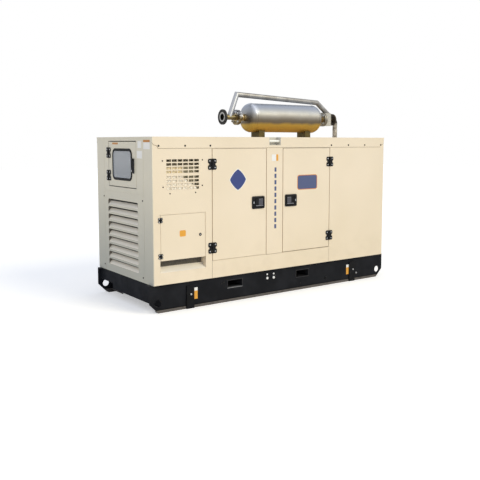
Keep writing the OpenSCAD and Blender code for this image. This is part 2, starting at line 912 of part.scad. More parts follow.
module intake_louvre_panel() {
    color(cream) in_canopy() across(sheet_t) difference() {
        translate([end_low_y, 0]) square([end_high_y - end_low_y, louvre_panel_h]);
        louvre_openings(intake_louvres, -half_w + louvre_y, louvre_z);
    }
}

module intake_blades() {
    color(cream) in_canopy() blades(intake_louvres, -half_w + louvre_y, louvre_z);
}

module outlet_louvre_panel() {
    color(cream) in_canopy() translate([canopy_l - sheet_t, 0, 0]) across(sheet_t) difference() {
        translate([end_low_y, 0]) square([end_high_y - end_low_y, wall_h]);
        louvre_openings(outlet_louvres, -louvre_w / 2, louvre_z);
    }
}

module outlet_blades() {
    color(cream) in_canopy() translate([canopy_l, 0, 0]) mirror([1, 0, 0])
        blades(outlet_louvres, -louvre_w / 2, louvre_z);
}

// Flat straps that join the end panels to the corner panels from behind
module end_straps() {
    color(cream) in_canopy() {
        for (x = [sheet_t, canopy_l - 2 * sheet_t], side = [-1, 1])
            block([x, side * (half_w - corner_wrap) - strap_w / 2, 0],
                [x + sheet_t, side * (half_w - corner_wrap) + strap_w / 2, wall_h]);
        block([sheet_t, -half_w + corner_wrap + strap_w / 2, louvre_panel_h - strap_w / 4],
            [2 * sheet_t, half_w - corner_wrap - strap_w / 2, louvre_panel_h + strap_w / 2]);
    }
}

// Roof

// Side flange in x and z, its two ends cut along an S of two quarter circles
module flange_outline() {
    r = flange_cut / 2;
    low = canopy_h - flange_h;
    half = [for (a = [180 : 15 : 270]) [r + r * cos(a), low + 2 * r + r * sin(a)],
        for (a = [90 : -15 : 0]) [r + r * cos(a), low + r * sin(a)]];
    far = [for (i = [len(half) - 1 : -1 : 0]) [canopy_l - half[i][0], half[i][1]]];
    polygon(concat([[0, canopy_h]], half, far, [[canopy_l, canopy_h]]));
}

module roof() {
    color(cream) in_canopy() difference() {
        union() {
            block([-roof_t, -half_w - roof_t, wall_h],
                [canopy_l + roof_t, half_w + roof_t, canopy_h]);
            both_sides() translate([0, -half_w - roof_t, 0]) upright(roof_t) flange_outline();
            for (x = [-roof_t, canopy_l])
                block([x, -half_w - roof_t, canopy_h - end_lip_h],
                    [x + roof_t, half_w + roof_t, canopy_h]);
        }
        both_sides() lifting_notch(pillar_mid);
    }
}

// Galvanised pockets in the roof's edge, open at the front and the top
module lifting_pockets() {
    play = 0.3;
    color(zinc) in_canopy() both_sides()
        difference() {
            block([pillar_mid - pocket_w / 2 + play, -half_w - roof_t, canopy_h - pocket_h + play],
                [pillar_mid + pocket_w / 2 - play, -half_w + pocket_d - play, canopy_h]);
            block([pillar_mid - pocket_w / 2 + play + roof_t, -half_w - roof_t - cut,
                canopy_h - pocket_h + play + roof_t],
                [pillar_mid + pocket_w / 2 - play - roof_t, -half_w + pocket_d - play - roof_t,
                    canopy_h + cut]);
        }
}

// Acoustic lining on the fixed walls and under the roof
module acoustic_lining() {
    inset = strap_w;
    color(foam) in_canopy() {
        both_sides()
            block([right_seam + door_gap / 2 + sheet_t + inset, -half_w + sheet_t, inset],
                [canopy_l - inset, -half_w + sheet_t + lining_t, wall_h - lining_t - inset]);
        mirror([0, 1, 0])
            block([inset, -half_w + sheet_t, inset],
                [left_seam - door_gap / 2 - sheet_t - inset, -half_w + sheet_t + lining_t,
                    wall_h - lining_t - inset]);
        block([control_d + inset, -half_w + return_d + pocket_d, wall_h - lining_t],
            [canopy_l - louvre_d - inset, half_w - return_d - pocket_d, wall_h]);
    }
}

// Intake end fittings

module inlet_baffle() {
    low = [grille_x - baffle_margin, -half_w + sheet_t, grille_z - baffle_margin];
    high = [grille_x + grille_w + baffle_margin, -half_w + sheet_t + baffle_d,
        grille_z + grille_h + baffle_margin];
    color(cream) in_canopy() difference() {
        block(low, high);
        block(low + [sheet_t, -cut, sheet_t], high - [sheet_t, sheet_t, sheet_t]);
    }
}

module power_cabinet() {
    low_x = cabinet_x - door_gap / 2 - sheet_t;
    high_x = cabinet_right + door_gap / 2 + sheet_t;
    color(cream) in_canopy() difference() {
        block([low_x, -half_w + sheet_t, recess_top],
            [high_x, -half_w + cabinet_d, cabinet_top + door_gap / 2 + sheet_t]);
        block([low_x + sheet_t, -half_w, recess_top - cut],
            [high_x - sheet_t, -half_w + cabinet_d - sheet_t, cabinet_top + door_gap / 2]);
    }
}

module cable_recess() {
    low_x = cabinet_x - door_gap / 2 - sheet_t;
    high_x = cabinet_right + door_gap / 2 + sheet_t;
    color(cream) in_canopy() difference() {
        block([low_x, -half_w + sheet_t, cable_z - sheet_t], [high_x, -half_w + cabinet_d, recess_top]);
        block([low_x + sheet_t, -half_w, cable_z],
            [high_x - sheet_t, -half_w + cabinet_d - sheet_t, recess_top + cut]);
    }
}

module power_door() {
    color(cream) in_canopy() translate([0, -half_w, 0])
        door_tray(cabinet_x + door_gap / 2, cabinet_right - door_gap / 2, cabinet_z + door_gap / 2,
            cabinet_top - door_gap / 2, cabinet_door_d);
}

// The control door's parts are drawn in y and z, with y from the service face

module control_door() {
    color(cream) in_canopy() difference() {
        translate([0, -half_w, 0])
            block([0, control_y + door_gap / 2, control_z + door_gap / 2],
                [control_door_d, control_far - door_gap / 2, control_top - door_gap / 2]);
        translate([0, -half_w, 0])
            block([sheet_t, control_y + door_gap / 2 + sheet_t, control_z + door_gap / 2 + sheet_t],
                [control_door_d + cut, control_far - door_gap / 2 - sheet_t,
                    control_top - door_gap / 2 - sheet_t]);
        translate([-cut, 0, 0]) across(sheet_t + 2 * cut) window_outline(gasket_w / 2);
    }
}

// Outline of the window, drawn in from the gasket's outer edge
module window_outline(inset) {
    translate([-half_w + control_y + window_in + inset, control_z + window_up + inset])
        round_rect(window_w - 2 * inset, window_h - 2 * inset, gasket_r - inset);
}

module control_gasket() {
    color(black) in_canopy() {
        translate([-gasket_t, 0, 0]) across(gasket_t) difference() {
            window_outline(0);
            window_outline(gasket_w);
        }
        across(glass_t) difference() {
            window_outline(gasket_w / 2);
            window_outline(gasket_w - gasket_lip);
        }
    }
}

module control_window() {
    color("#8d979c", 0.5) in_canopy() across(glass_t) window_outline(gasket_w - gasket_lip);
}

module control_compartment() {
    low_y = -half_w + control_y - door_gap / 2 - sheet_t;
    high_y = -half_w + control_far + door_gap / 2 + sheet_t;
    low_z = control_z - door_gap / 2 - sheet_t;
    high_z = control_top + door_gap / 2 + sheet_t;
    color("#b4b5b0") in_canopy() difference() {
        block([sheet_t, low_y, low_z], [control_d, high_y, high_z]);
        block([0, low_y + sheet_t, low_z + sheet_t],
            [control_d - sheet_t, high_y - sheet_t, high_z - sheet_t]);
    }
}

handle_y = -half_w + control_y + handle_in;
handle_z = control_z + handle_up;
handle_low_z = handle_z + handle_over - handle_l;
handle_face_x = -handle_plate_t - handle_gap;

module control_latch_plate() {
    margin = 4;
    color(black) in_canopy() {
        translate([-handle_plate_t, handle_y - handle_w / 2 - margin, handle_low_z - 2 * margin])
            across(handle_plate_t) round_rect(handle_w + 2 * margin, handle_l, 6);
        x_rod(handle_face_x + pin_play, handle_y, handle_z, spindle_r, handle_gap - pin_play);
    }
}

module control_handle() {
    color(black) in_canopy() translate([handle_face_x - handle_t, handle_y - handle_w / 2, handle_low_z])
        across(handle_t) round_rect(handle_w, handle_l, handle_w / 2 - 1);
}

// Engine and alternator, seen when the service doors are open

rail_top = rail_h - base_t;
bell_x = alternator_x + alternator_l;
engine_x = bell_x + bell_l;
engine_end = engine_x + engine_l;
head_top = shaft_z + head_up + head_h;

module mounting_rails() {
    color(black) in_canopy() both_sides()
        block([alternator_x - 30, rail_gauge / 2 - rail_w / 2, -base_t],
            [engine_end + 30, rail_gauge / 2 + rail_w / 2, rail_top]);
}

// A foot at each side, standing on the rails
module feet(x, l, inner) {
    both_sides() {
        block([x, inner, rail_top], [x + l, rail_gauge / 2 + rail_w / 2 - 5, rail_top + 14]);
        block([x, inner, rail_top], [x + l, inner + 24, shaft_z]);
    }
}

module engine_section() {
    top = shaft_z + head_up;
    neck = head_w / 2 + 12;
    polygon([[-0.36 * engine_w, rail_top - 30], [0.36 * engine_w, rail_top - 30],
        [engine_w / 2, shaft_z - 120], [engine_w / 2, shaft_z + shoulder_up],
        [neck, shaft_z + shoulder_up + 50], [neck, top], [-neck, top],
        [-neck, shaft_z + shoulder_up + 50], [-engine_w / 2, shaft_z + shoulder_up],
        [-engine_w / 2, shaft_z - 120]]);
}

module cylinder_heads() {
    pitch = engine_l / cylinders;
    cover_h = 42;
    for (i = [0 : cylinders - 1]) translate([engine_x + (i + 0.5) * pitch, 0, 0]) {
        block([-pitch / 2 + 3, -head_w / 2, shaft_z + head_up],
            [pitch / 2 - 3, head_w / 2, head_top - cover_h]);
        translate([0, 0, head_top - cover_h]) cylinder(d = 44, h = cover_h + 34, $fn = 24);
        translate([0, -manifold_y, manifold_z]) rotate([-90, 0, 0])
            cylinder(d = manifold_d / 2, h = manifold_y, $fn = 24);
    }
    block([engine_x + 12, -head_w / 2 + 22, shaft_z + head_up],
        [engine_end - 12, head_w / 2 - 22, head_top]);
}

manifold_y = head_w / 2 + manifold_d / 2 + 26;
manifold_z = shaft_z + head_up + 46;

module engine_block() {
    pulley_r = 105;
    color("#4b5052") in_canopy() {
        translate([engine_x, 0, 0]) across(engine_l) engine_section();
        x_rod(bell_x, 0, shaft_z, alternator_d / 2 + 12, bell_l);
        cylinder_heads();
        x_rod(engine_x + 20, -manifold_y, manifold_z, manifold_d / 2, engine_l - 20);
        x_rod(engine_x + 60, manifold_y - 10, manifold_z, manifold_d / 2 - 8, engine_l - 120);
        block([engine_x + 60, 0, manifold_z - 20], [engine_end - 60, manifold_y, manifold_z + 20]);
        x_rod(engine_end, 0, shaft_z, pulley_r, 46);
        x_rod(engine_end, 0, shaft_z + 200, 70, 60);
        feet(engine_end - 150, 90, engine_w / 2 - 30);
        feet(bell_x + 12, 60, engine_w / 2 - 30);
    }
}

module alternator() {
    box_w = 250;
    band = 34;
    color("#5c6062") in_canopy() {
        x_rod(alternator_x + band, 0, shaft_z, alternator_d / 2 - 14, alternator_l - 2 * band);
        x_rod(alternator_x + band, 0, shaft_z, alternator_d / 2, band);
        x_rod(bell_x - 2 * band, 0, shaft_z, alternator_d / 2, 2 * band);
        x_rod(alternator_x, 0, shaft_z, alternator_d / 2 - 50, band);
        block([alternator_x + 50, -box_w / 2, shaft_z], [bell_x - 90, box_w / 2,
            shaft_z + alternator_d / 2 + 120]);
        feet(alternator_x + 60, 70, 130);
        feet(bell_x - 140, 70, 130);
    }
}

// Silencer

module silencer_vessel() {
    centre = dish_h - crown_r;
    crown = [for (i = [0 : 6]) [crown_r * sin(i * crown_a / 6),
        vessel_l / 2 + centre + crown_r * cos(i * crown_a / 6)]];
    knuckle = [for (i = [1 : 6]) let (a = 90 - crown_a - i * (90 - crown_a) / 6)
        [vessel_r - dish_knuckle + dish_knuckle * cos(a), vessel_l / 2 + dish_knuckle * sin(a)]];
    half = concat(crown, knuckle);
    other = [for (i = [len(half) - 1 : -1 : 0]) [half[i][0], -half[i][1]]];
    color(steel) in_canopy() translate([vessel_x, 0, vessel_z]) rotate([0, 90, 0])
        rotate_extrude($fn = 96) polygon(concat(half, other));
}

module silencer_saddles() {
    top = vessel_z - sqrt(pow(vessel_r, 2) - pow(saddle_w / 2, 2)) + 6;
    plate = 5;
    color(steel) in_canopy() for (side = [-1, 1])
        translate([vessel_x + side * saddle_out, 0, 0]) difference() {
            block([-saddle_l / 2, -saddle_w / 2, canopy_h], [saddle_l / 2, saddle_w / 2, top]);
            block([-saddle_l / 2 + plate, -saddle_w / 2 + plate, canopy_h + plate],
                [saddle_l / 2 - plate, saddle_w / 2 - plate, top + cut]);
            x_rod(-saddle_l, 0, vessel_z, vessel_r, 2 * saddle_l);
        }
}

module bolt_holes(x) {
    for (i = [0 : flange_holes - 1])
        translate([x, 0, vessel_z]) rotate([45 + i * 360 / flange_holes, 0, 0])
            x_rod(-cut, 0, flange_pcd / 2, flange_hole_d / 2, pipe_flange_t + 2 * cut);
}

outlet_pipe_end = joint_x - pipe_flange_t;

module outlet_pipe() {
    color(steel) in_canopy() difference() {
        union() {
            x_rod(outlet_x, 0, vessel_z, pipe_flange_d / 2, pipe_flange_t);
            x_rod(outlet_x, 0, vessel_z, pipe_d / 2, outlet_pipe_end - outlet_x);
        }
        x_rod(outlet_x - cut, 0, vessel_z, pipe_d / 2 - pipe_wall, outlet_pipe_end - outlet_x + 2 * cut);
        bolt_holes(outlet_x);
    }
}

// Bolted flange pair and neck on the vessel's outlet end, with its stiffening ring
module joint_flanges() {
    gasket = 2;
    ring_x = joint_x + 38;
    color(steel) in_canopy() difference() {
        union() {
            x_rod(outlet_pipe_end, 0, vessel_z, pipe_flange_d / 2, pipe_flange_t);
            x_rod(joint_x + gasket, 0, vessel_z, pipe_flange_d / 2, pipe_flange_t);
            x_rod(joint_x, 0, vessel_z, pipe_d / 2 + 16, gasket);
            x_rod(joint_x, 0, vessel_z, pipe_d / 2, dish_left_x + 12 - joint_x);
            x_rod(ring_x, 0, vessel_z, pipe_d / 2 + 22, 10);
            x_rod(dish_left_x - 22, 0, vessel_z, pipe_d / 2 + 10, 34);
        }
        x_rod(outlet_pipe_end - cut, 0, vessel_z, pipe_d / 2 - pipe_wall, pipe_flange_t + cut);
        translate([vessel_x - vessel_l / 2 + crown_r - dish_h, 0, vessel_z]) sphere(crown_r, $fn = 96);
    }
}

// Bypass pipe: three straight legs in one upright plane, mitred where they meet
bypass_sides = 32;
foot = [bypass_foot_x, vessel_z];
corner_a = [bypass_a_x, canopy_h + bypass_a_up];
corner_b = [bypass_b_x, canopy_h + bypass_b_up];
landing = [valve_x + landing_in, vessel_z + valve_h / 2];

function heading(p, q) = atan2(q[1] - p[1], q[0] - p[0]);

// Ring of a leg that heads at one angle, cut by a plane whose slope is another angle
function cut_ring(p, leg_a, plane_a) = [for (i = [0 : bypass_sides - 1])
    let (turn = i * 360 / bypass_sides, reach = bypass_d / 2 * sin(turn) / sin(plane_a - leg_a))
    [p[0] + reach * cos(plane_a), bypass_d / 2 * cos(turn), p[1] + reach * sin(plane_a)]];

module bypass_pipe() {
    rise_a = heading(foot, corner_a);
    run_a = heading(corner_a, corner_b);
    fall_a = heading(corner_b, landing);
    rings = concat(cut_ring(foot, rise_a, 180), cut_ring(corner_a, rise_a, (rise_a + run_a) / 2 + 90),
        cut_ring(corner_b, run_a, (run_a + fall_a) / 2 + 90), cut_ring(landing, fall_a, 0));
    n = bypass_sides;
    walls = [for (k = [0 : 2], i = [0 : n - 1])
        [k * n + i, (k + 1) * n + i, (k + 1) * n + (i + 1) % n, k * n + (i + 1) % n]];
    color(steel) in_canopy() difference() {
        polyhedron(rings, concat([[for (i = [0 : n - 1]) i]], walls,
            [[for (i = [n - 1 : -1 : 0]) 3 * n + i]]));
        x_rod(outlet_x, 0, vessel_z, pipe_d / 2, outlet_pipe_end - outlet_x);
    }
}

// Neck, flange and shelf between the vessel and the valve box
module inlet_neck() {
    color(steel) in_canopy() difference() {
        union() {
            x_rod(dish_right_x - 12, 0, vessel_z, pipe_d / 2 + 10, 34);
            x_rod(dish_right_x - 12, 0, vessel_z, pipe_d / 2, valve_x - dish_right_x + 12);
            x_rod(valve_x - pipe_flange_t, 0, vessel_z, pipe_flange_d / 2, pipe_flange_t);
            x_rod(valve_x - 2.5 * pipe_flange_t, 0, vessel_z, pipe_flange_d / 2, pipe_flange_t);
        }
        translate([vessel_x + vessel_l / 2 - crown_r + dish_h, 0, vessel_z]) sphere(crown_r, $fn = 96);
    }
}

module valve_box() {
    frame_w = 8;
    depth = 2;
    color("#c9c4b6") in_canopy() difference() {
        block([valve_x, -valve_w / 2, vessel_z - valve_h / 2],
            [valve_x + valve_l, valve_w / 2, vessel_z + valve_h / 2]);
        for (side = [-1, 1])
            block([valve_x + frame_w, side * valve_w / 2 - depth, vessel_z - valve_h / 2 + frame_w],
                [valve_x + valve_l - frame_w, side * valve_w / 2 + depth,
                    vessel_z + valve_h / 2 - frame_w]);
    }
}

// Flange, short pipe and bend that turn down into the hose
bend_r = 40;
hose_top = vessel_z - bend_r;

module inlet_elbow() {
    disc_x = hose_x - bend_r - pipe_flange_t;
    color("#4b4a48") in_canopy() {
        x_rod(valve_x + valve_l, 0, vessel_z, pipe_d / 2, hose_x - bend_r - valve_x - valve_l);
        x_rod(disc_x, 0, vessel_z, pipe_flange_d / 2 - 12, pipe_flange_t);
        translate([hose_x - bend_r, 0, vessel_z - bend_r]) rotate([90, 0, 0])
            rotate_extrude(angle = 90) translate([bend_r, 0]) circle(d = pipe_d);
    }
}

module flexible_hose() {
    h = hose_top - canopy_h;
    collar = 12;
    turns = floor((h - 2 * collar) / hose_pitch);
    step = (h - 2 * collar) / turns;
    crest = hose_d / 2;
    valley = crest - hose_rib;
    wave = [for (i = [0 : turns - 1]) each [[valley, collar + i * step],
        [crest, collar + (i + 0.3) * step], [crest, collar + (i + 0.7) * step]]];
    color(steel) in_canopy() translate([hose_x, 0, canopy_h]) rotate_extrude()
        polygon(concat([[0, 0], [crest + 14, 0], [crest + 14, 5], [crest, 5], [crest, collar]], wave,
            [[valley, h - collar], [crest, h - collar], [crest, h], [0, h]]));
}

base_beam_front();
base_beam_back();
base_end_plates();
base_deck();
base_cross_members();
fork_pockets();
base_pads();
corner_panel();
outlet_side_panel();
door_sill();
door_pillar();
door_frames();
back_panels();
back_doors();
back_fittings();
control_end_panel();
intake_louvre_panel();
intake_blades();
outlet_louvre_panel();
outlet_blades();
end_straps();
roof();
lifting_pockets();
acoustic_lining();
inlet_baffle();
power_cabinet();
cable_recess();
control_compartment();
fixed_hinge_leaves();
left_door();
left_door_lining();
left_door_hinges();
left_latch();
left_paddle();
right_door();
right_door_lining();
right_door_hinges();
right_latch();
right_paddle();
power_door();
power_door_hinges();
control_door();
control_gasket();
control_window();
control_door_hinges();
control_latch_plate();
control_handle();
mounting_rails();
engine_block();
alternator();
silencer_vessel();
silencer_saddles();
outlet_pipe();
joint_flanges();
bypass_pipe();
inlet_neck();
valve_box();
inlet_elbow();
flexible_hose();
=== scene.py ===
import json
import math

import bmesh
import bpy
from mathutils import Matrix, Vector


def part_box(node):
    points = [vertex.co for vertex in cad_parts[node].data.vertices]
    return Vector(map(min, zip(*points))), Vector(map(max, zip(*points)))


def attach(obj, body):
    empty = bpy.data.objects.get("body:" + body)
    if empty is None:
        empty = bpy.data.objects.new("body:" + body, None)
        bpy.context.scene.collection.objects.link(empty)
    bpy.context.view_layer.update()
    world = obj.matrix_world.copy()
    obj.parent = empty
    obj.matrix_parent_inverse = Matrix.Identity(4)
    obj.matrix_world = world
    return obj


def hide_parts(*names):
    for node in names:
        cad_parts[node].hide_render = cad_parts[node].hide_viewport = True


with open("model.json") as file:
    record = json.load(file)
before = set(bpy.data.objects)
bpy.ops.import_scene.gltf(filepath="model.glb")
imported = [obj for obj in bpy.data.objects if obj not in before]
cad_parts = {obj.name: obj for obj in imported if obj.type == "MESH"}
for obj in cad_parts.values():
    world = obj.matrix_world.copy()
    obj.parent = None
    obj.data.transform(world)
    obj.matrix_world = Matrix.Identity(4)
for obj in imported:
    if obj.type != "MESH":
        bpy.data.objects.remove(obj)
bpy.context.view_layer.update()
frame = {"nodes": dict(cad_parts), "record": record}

# Lengths on the machine are written in millimetres; Blender's are metres
MM = 0.001

# Places that the frame gives: the canopy's faces and foot, the front beam and the silencer's axis
WEST, FRONT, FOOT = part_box("corner_panel")[0]
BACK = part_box("back_panels")[1].y
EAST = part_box("outlet_side_panel")[1].x
BEAM_FACE, BEAM_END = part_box("base_beam_front")[0].y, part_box("base_beam_front")[1].x
vessel_low, vessel_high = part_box("silencer_vessel")
AXIS_Z = (vessel_low.z + vessel_high.z) / 2

# Camera, matched to the photograph's view
CAMERA_PLACE = (-4.1496, -5.6199, 1.5108)
CAMERA_TURN = (84.6, 0.0, -35.74)
LENS = 49.69
SENSOR = 36.0
HORIZON_SHIFT = -0.0742


def make_face(origin, across, out):
    """A face to work on: u runs across it, v up it and w out of it, in millimetres from an origin."""
    def place(u, v, w=0.0):
        return Vector([o + (u * a + w * n + v * up) * MM
                       for o, a, n, up in zip(origin, across, out, (0, 0, 1))])
    return place


# The door side and the back from the intake end, the two ends from the door side, the skid's beams from
# the canopy's intake end and the floor, and the silencer about its axis
service = make_face((WEST, FRONT, FOOT), (1, 0, 0), (0, -1, 0))
back_side = make_face((WEST, BACK, FOOT), (1, 0, 0), (0, 1, 0))
intake_end = make_face((WEST, FRONT, FOOT), (0, 1, 0), (-1, 0, 0))
outlet_end = make_face((EAST, FRONT, FOOT), (0, 1, 0), (1, 0, 0))
front_beam = make_face((WEST, BEAM_FACE, 0), (1, 0, 0), (0, -1, 0))
back_beam = make_face((WEST, -BEAM_FACE, 0), (1, 0, 0), (0, 1, 0))
exhaust = make_face((WEST, 0, AXIS_Z), (1, 0, 0), (0, -1, 0))


def in_frame(x, y, z):
    """A place in the frame's own millimetres."""
    return Vector((x, y, z)) * MM


def extent(node, face=service):
    """A node's lowest and highest u, then its lowest and highest v, on the door side or the intake end."""
    low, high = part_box(node)
    across = (low.y - FRONT, high.y - FRONT) if face is intake_end else (low.x - WEST, high.x - WEST)
    return [length / MM for length in (*across, low.z - FOOT, high.z - FOOT)]


def middle_and_size(node, face=service):
    """Middle and size of a node on a face."""
    low_u, high_u, low_v, high_v = extent(node, face)
    return (low_u + high_u) / 2, (low_v + high_v) / 2, high_u - low_u, high_v - low_v


# Nodes and finishes

# Positions of the colour inputs and output on a Mix node that is set to colour
MIX_A, MIX_B, MIX_OUT = 6, 7, 2


def srgb(code):
    """Linear colour of an sRGB hex value."""
    parts = [int(code[i:i + 2], 16) / 255 for i in (1, 3, 5)]
    linear = [p / 12.92 if p <= 0.04045 else ((p + 0.055) / 1.055) ** 2.4 for p in parts]
    return (*linear, 1.0)


def feed(tree, node, inputs):
    """Gives each input an output socket, an sRGB hex colour or another value."""
    for key, value in inputs.items():
        if isinstance(value, bpy.types.NodeSocket):
            tree.links.new(value, node.inputs[key])
        else:
            node.inputs[key].default_value = srgb(value) if str(value).startswith("#") else value


def add(tree, kind, inputs=None, **settings):
    """Adds one node with its settings and what its inputs get."""
    node = tree.nodes.new(kind)
    for name, value in settings.items():
        setattr(node, name, value)
    feed(tree, node, inputs or {})
    return node


def per_metre(size_mm):
    """Texture scale whose features are about this size."""
    return 1000.0 / size_mm


class Finish:
    """A material with the slot it belongs to; its methods lay down patterns of several nodes.

    A pattern's source is an output socket, or noise given as its features' size in mm, its detail and,
    where they are drawn out along an axis, its stretch.
    """

    def __init__(self, name, slot, metallic, roughness, **more):
        self.slot = slot
        self.material = bpy.data.materials.new(name)
        self.material.use_nodes = True
        self.tree = self.material.node_tree
        self.shader = self.tree.nodes["Principled BSDF"]
        self.give(Metallic=metallic, Roughness=roughness, **more)
        self.place = add(self.tree, "ShaderNodeTexCoord").outputs["Object"]
        self.x, self.y, self.z = add(self.tree, "ShaderNodeSeparateXYZ", {"Vector": self.place}).outputs

    def give(self, **inputs):
        """Sets or links the shader's inputs, with their names' spaces as underscores."""
        feed(self.tree, self.shader, {key.replace("_", " "): value for key, value in inputs.items()})
        return self

    def value(self, source):
        """A source's socket: its own, or that of noise whose place is scaled to a real size."""
        if not isinstance(source, tuple):
            return source
        size_mm, detail, stretch = (*source, (1.0, 1.0, 1.0))[:3]
        scaled = add(self.tree, "ShaderNodeMapping", {
            "Vector": self.place, "Scale": [per_metre(size_mm) * way for way in stretch]})
        return add(self.tree, "ShaderNodeTexNoise", {
            "Vector": scaled.outputs["Vector"], "Scale": 1.0, "Detail": detail}).outputs["Fac"]

    def share(self, source, span, ends=(0.0, 1.0)):
        """Maps the span that a source crosses to two ends."""
        return add(self.tree, "ShaderNodeMapRange", {
            "Value": self.value(source), "From Min": span[0], "From Max": span[1],
            "To Min": ends[0], "To Max": ends[1]}).outputs["Result"]

    def blend(self, source, span, first, last, ends=(0.0, 1.0)):
        """Turns one colour into another while a source crosses a span, or in patches where it is noise."""
        mix = add(self.tree, "ShaderNodeMix", {
            0: self.share(source, span, ends), MIX_A: first, MIX_B: last}, data_type="RGBA")
        return mix.outputs[MIX_OUT]

    def grain(self, depth_mm, strength, source):
        """Raises the surface by a source times a real depth."""
        raised = add(self.tree, "ShaderNodeBump", {
            "Height": self.value(source), "Distance": depth_mm * MM, "Strength": strength})
        return self.give(Normal=raised.outputs["Normal"])

    def off_axis(self):
        """Distance from the silencer's axis."""
        across = add(self.tree, "ShaderNodeCombineXYZ", {"Y": self.y, "Z": self.z}).outputs["Vector"]
        return add(self.tree, "ShaderNodeVectorMath", {0: across, 1: (0.0, 0.0, AXIS_Z)},
                   operation="DISTANCE").outputs["Value"]


def ivory_powder_coat():
    """Light ivory polyester powder coat on sheet steel: satin, with fine orange peel, a little dust and
    painted shade on the intake end.
    """
    made = Finish("ivory_powder_coat", "cream_paint", 0.0, 0.42)
    coat = made.blend((900, 2.0), (0.35, 0.65), "#f2e2c8", "#ecdcc0")
    dusty = made.blend((120, 5.0), (0.45, 0.75), coat, "#cdbb9c", (0.0, 0.22))
    dusted = made.blend(made.z, (0.62, 0.25), coat, dusty)
    # Painted shade: the intake end is greyer and darker than the sides, most of all at its foot
    end_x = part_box("control_end_panel")[0].x
    greyed = made.blend(made.z, (1.2, 0.38), "#ece2c8", "#c5c1af")
    made.give(Base_Color=made.blend(made.x, (end_x + 0.01, end_x + 0.004), dusted, greyed),
              Roughness=made.share((260, 4.0), (0.3, 0.7), (0.36, 0.5)))
    # Orange peel is about 3 mm across on the real coat and is drawn at 7 mm so that it shows
    return made.grain(0.12, 0.35, (7, 2.0))


def black_skid_paint():
    """Satin black two-pack paint on the hot-rolled skid, grey-brown along its foot, with a painted shadow
    line just above it.
    """
    made = Finish("black_skid_paint", "black_paint", 0.0, 0.45, Specular_IOR_Level=0.04)
    coat = made.blend((160, 4.0), (0.4, 0.7), "#1e1f22", "#26272b")
    # Painted shadow: a near-black line just above the foot, under the step of the bottom flange
    lined = made.blend(made.z, (0.036, 0.031), coat, "#08080a")
    worn = made.blend((45, 3.0), (0.3, 0.5), lined, "#68635f", (0.7, 1.0))
    made.give(Base_Color=made.blend(made.z, (0.028, 0.024), lined, worn),
              Roughness=made.share((90, 4.0), (0.3, 0.7), (0.34, 0.55)))
    return made.grain(0.2, 0.4, (9, 3.0))


def rolled_stainless():
    """AISI 304 sheet, rolled and bead-blasted, its colour holding painted reflections: bluish sky along the
    top, a dark band under the axis and the roof's golden reflection along the underside.
    """
    made = Finish("rolled_stainless", "stainless", 1.0, 0.45)
    wavy = add(made.tree, "ShaderNodeMath", {
        0: made.z, 1: made.share((220, 3.0), (0.35, 0.65), (-0.008, 0.008))}, operation="ADD")
    height, start = wavy.outputs["Value"], vessel_low.x
    # Painted reflections by height: bluish sky above the axis, a dark band just under it, the roof's gold
    # lower down
    sky = made.blend(height, (AXIS_Z + 0.03, AXIS_Z + 0.12), "#9b9a98", "#a0a8b8")
    shaded = made.blend(height, (AXIS_Z + 0.035, AXIS_Z - 0.03), sky, "#7a7164")
    gold = made.blend(height, (AXIS_Z - 0.09, AXIS_Z - 0.145), "#cdac57", "#cba650")
    body = made.blend(height, (AXIS_Z - 0.05, AXIS_Z - 0.078), shaded, gold)
    # Painted highlight: the dish's shoulder is lighter and bluer where it reflects the sky
    polished = made.blend(height, (AXIS_Z + 0.015, AXIS_Z + 0.05), body, "#eaf0ff", (0.0, 0.6))
    shoulder = made.blend(made.x, (start + 0.1, start + 0.05), body, polished)
    made.give(Base_Color=made.blend(made.x, (start + 0.025, start + 0.05), body, shoulder),
              Roughness=made.share((70, 5.0), (0.3, 0.7), (0.44, 0.56)))
    # Roll marks run round the shell, about 2 mm apart on the sheet and drawn at 6 mm
    return made.grain(0.1, 0.25, (6, 3.0, (1.0, 0.12, 0.12)))


def pickled_tube():
    """Pickled stainless tube: light grey, with a painted brighter, bluer reflection on the leg where it
    rises.
    """
    made = Finish("pickled_tube", "stainless", 1.0, 0.48)
    tone = made.blend((90, 4.0), (0.35, 0.65), "#9d9d9e", "#858381")
    # Painted reflection: the rising leg is lighter and bluer than the rest
    made.give(Base_Color=made.blend(made.x, (WEST + 1.31, WEST + 1.28), tone, "#acafb6"))
    return made.grain(0.08, 0.3, (5, 2.0, (0.1, 1.0, 1.0)))


def heat_tinted_outlet():
    """Hot outlet: straw-brown temper colours on the pipe, dark oxide on its open flange and painted shade in
    its open mouth.
    """
    made = Finish("heat_tinted_outlet", "stainless", 1.0, 0.45)
    pipe = made.blend((45, 3.0), (0.35, 0.65), "#97875a", "#7d7258")
    oxide = made.blend((25, 4.0), (0.4, 0.7), "#2f2f30", "#4a4845")
    reach, start = made.off_axis(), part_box("outlet_pipe")[0].x
    rim = made.blend(reach, (0.031, 0.035), pipe, oxide)
    sealing_ring = made.blend(reach, (0.050, 0.046), oxide, "#b4b4b2")
    # Painted shade: inside the sealing ring the pipe's open mouth is near-black
    face = made.blend(reach, (0.037, 0.034), sealing_ring, "#191817")
    made.give(Base_Color=made.blend(made.x, (start + 0.017, start + 0.0165), rim, face))
    return made.grain(0.15, 0.4, (4, 4.0))


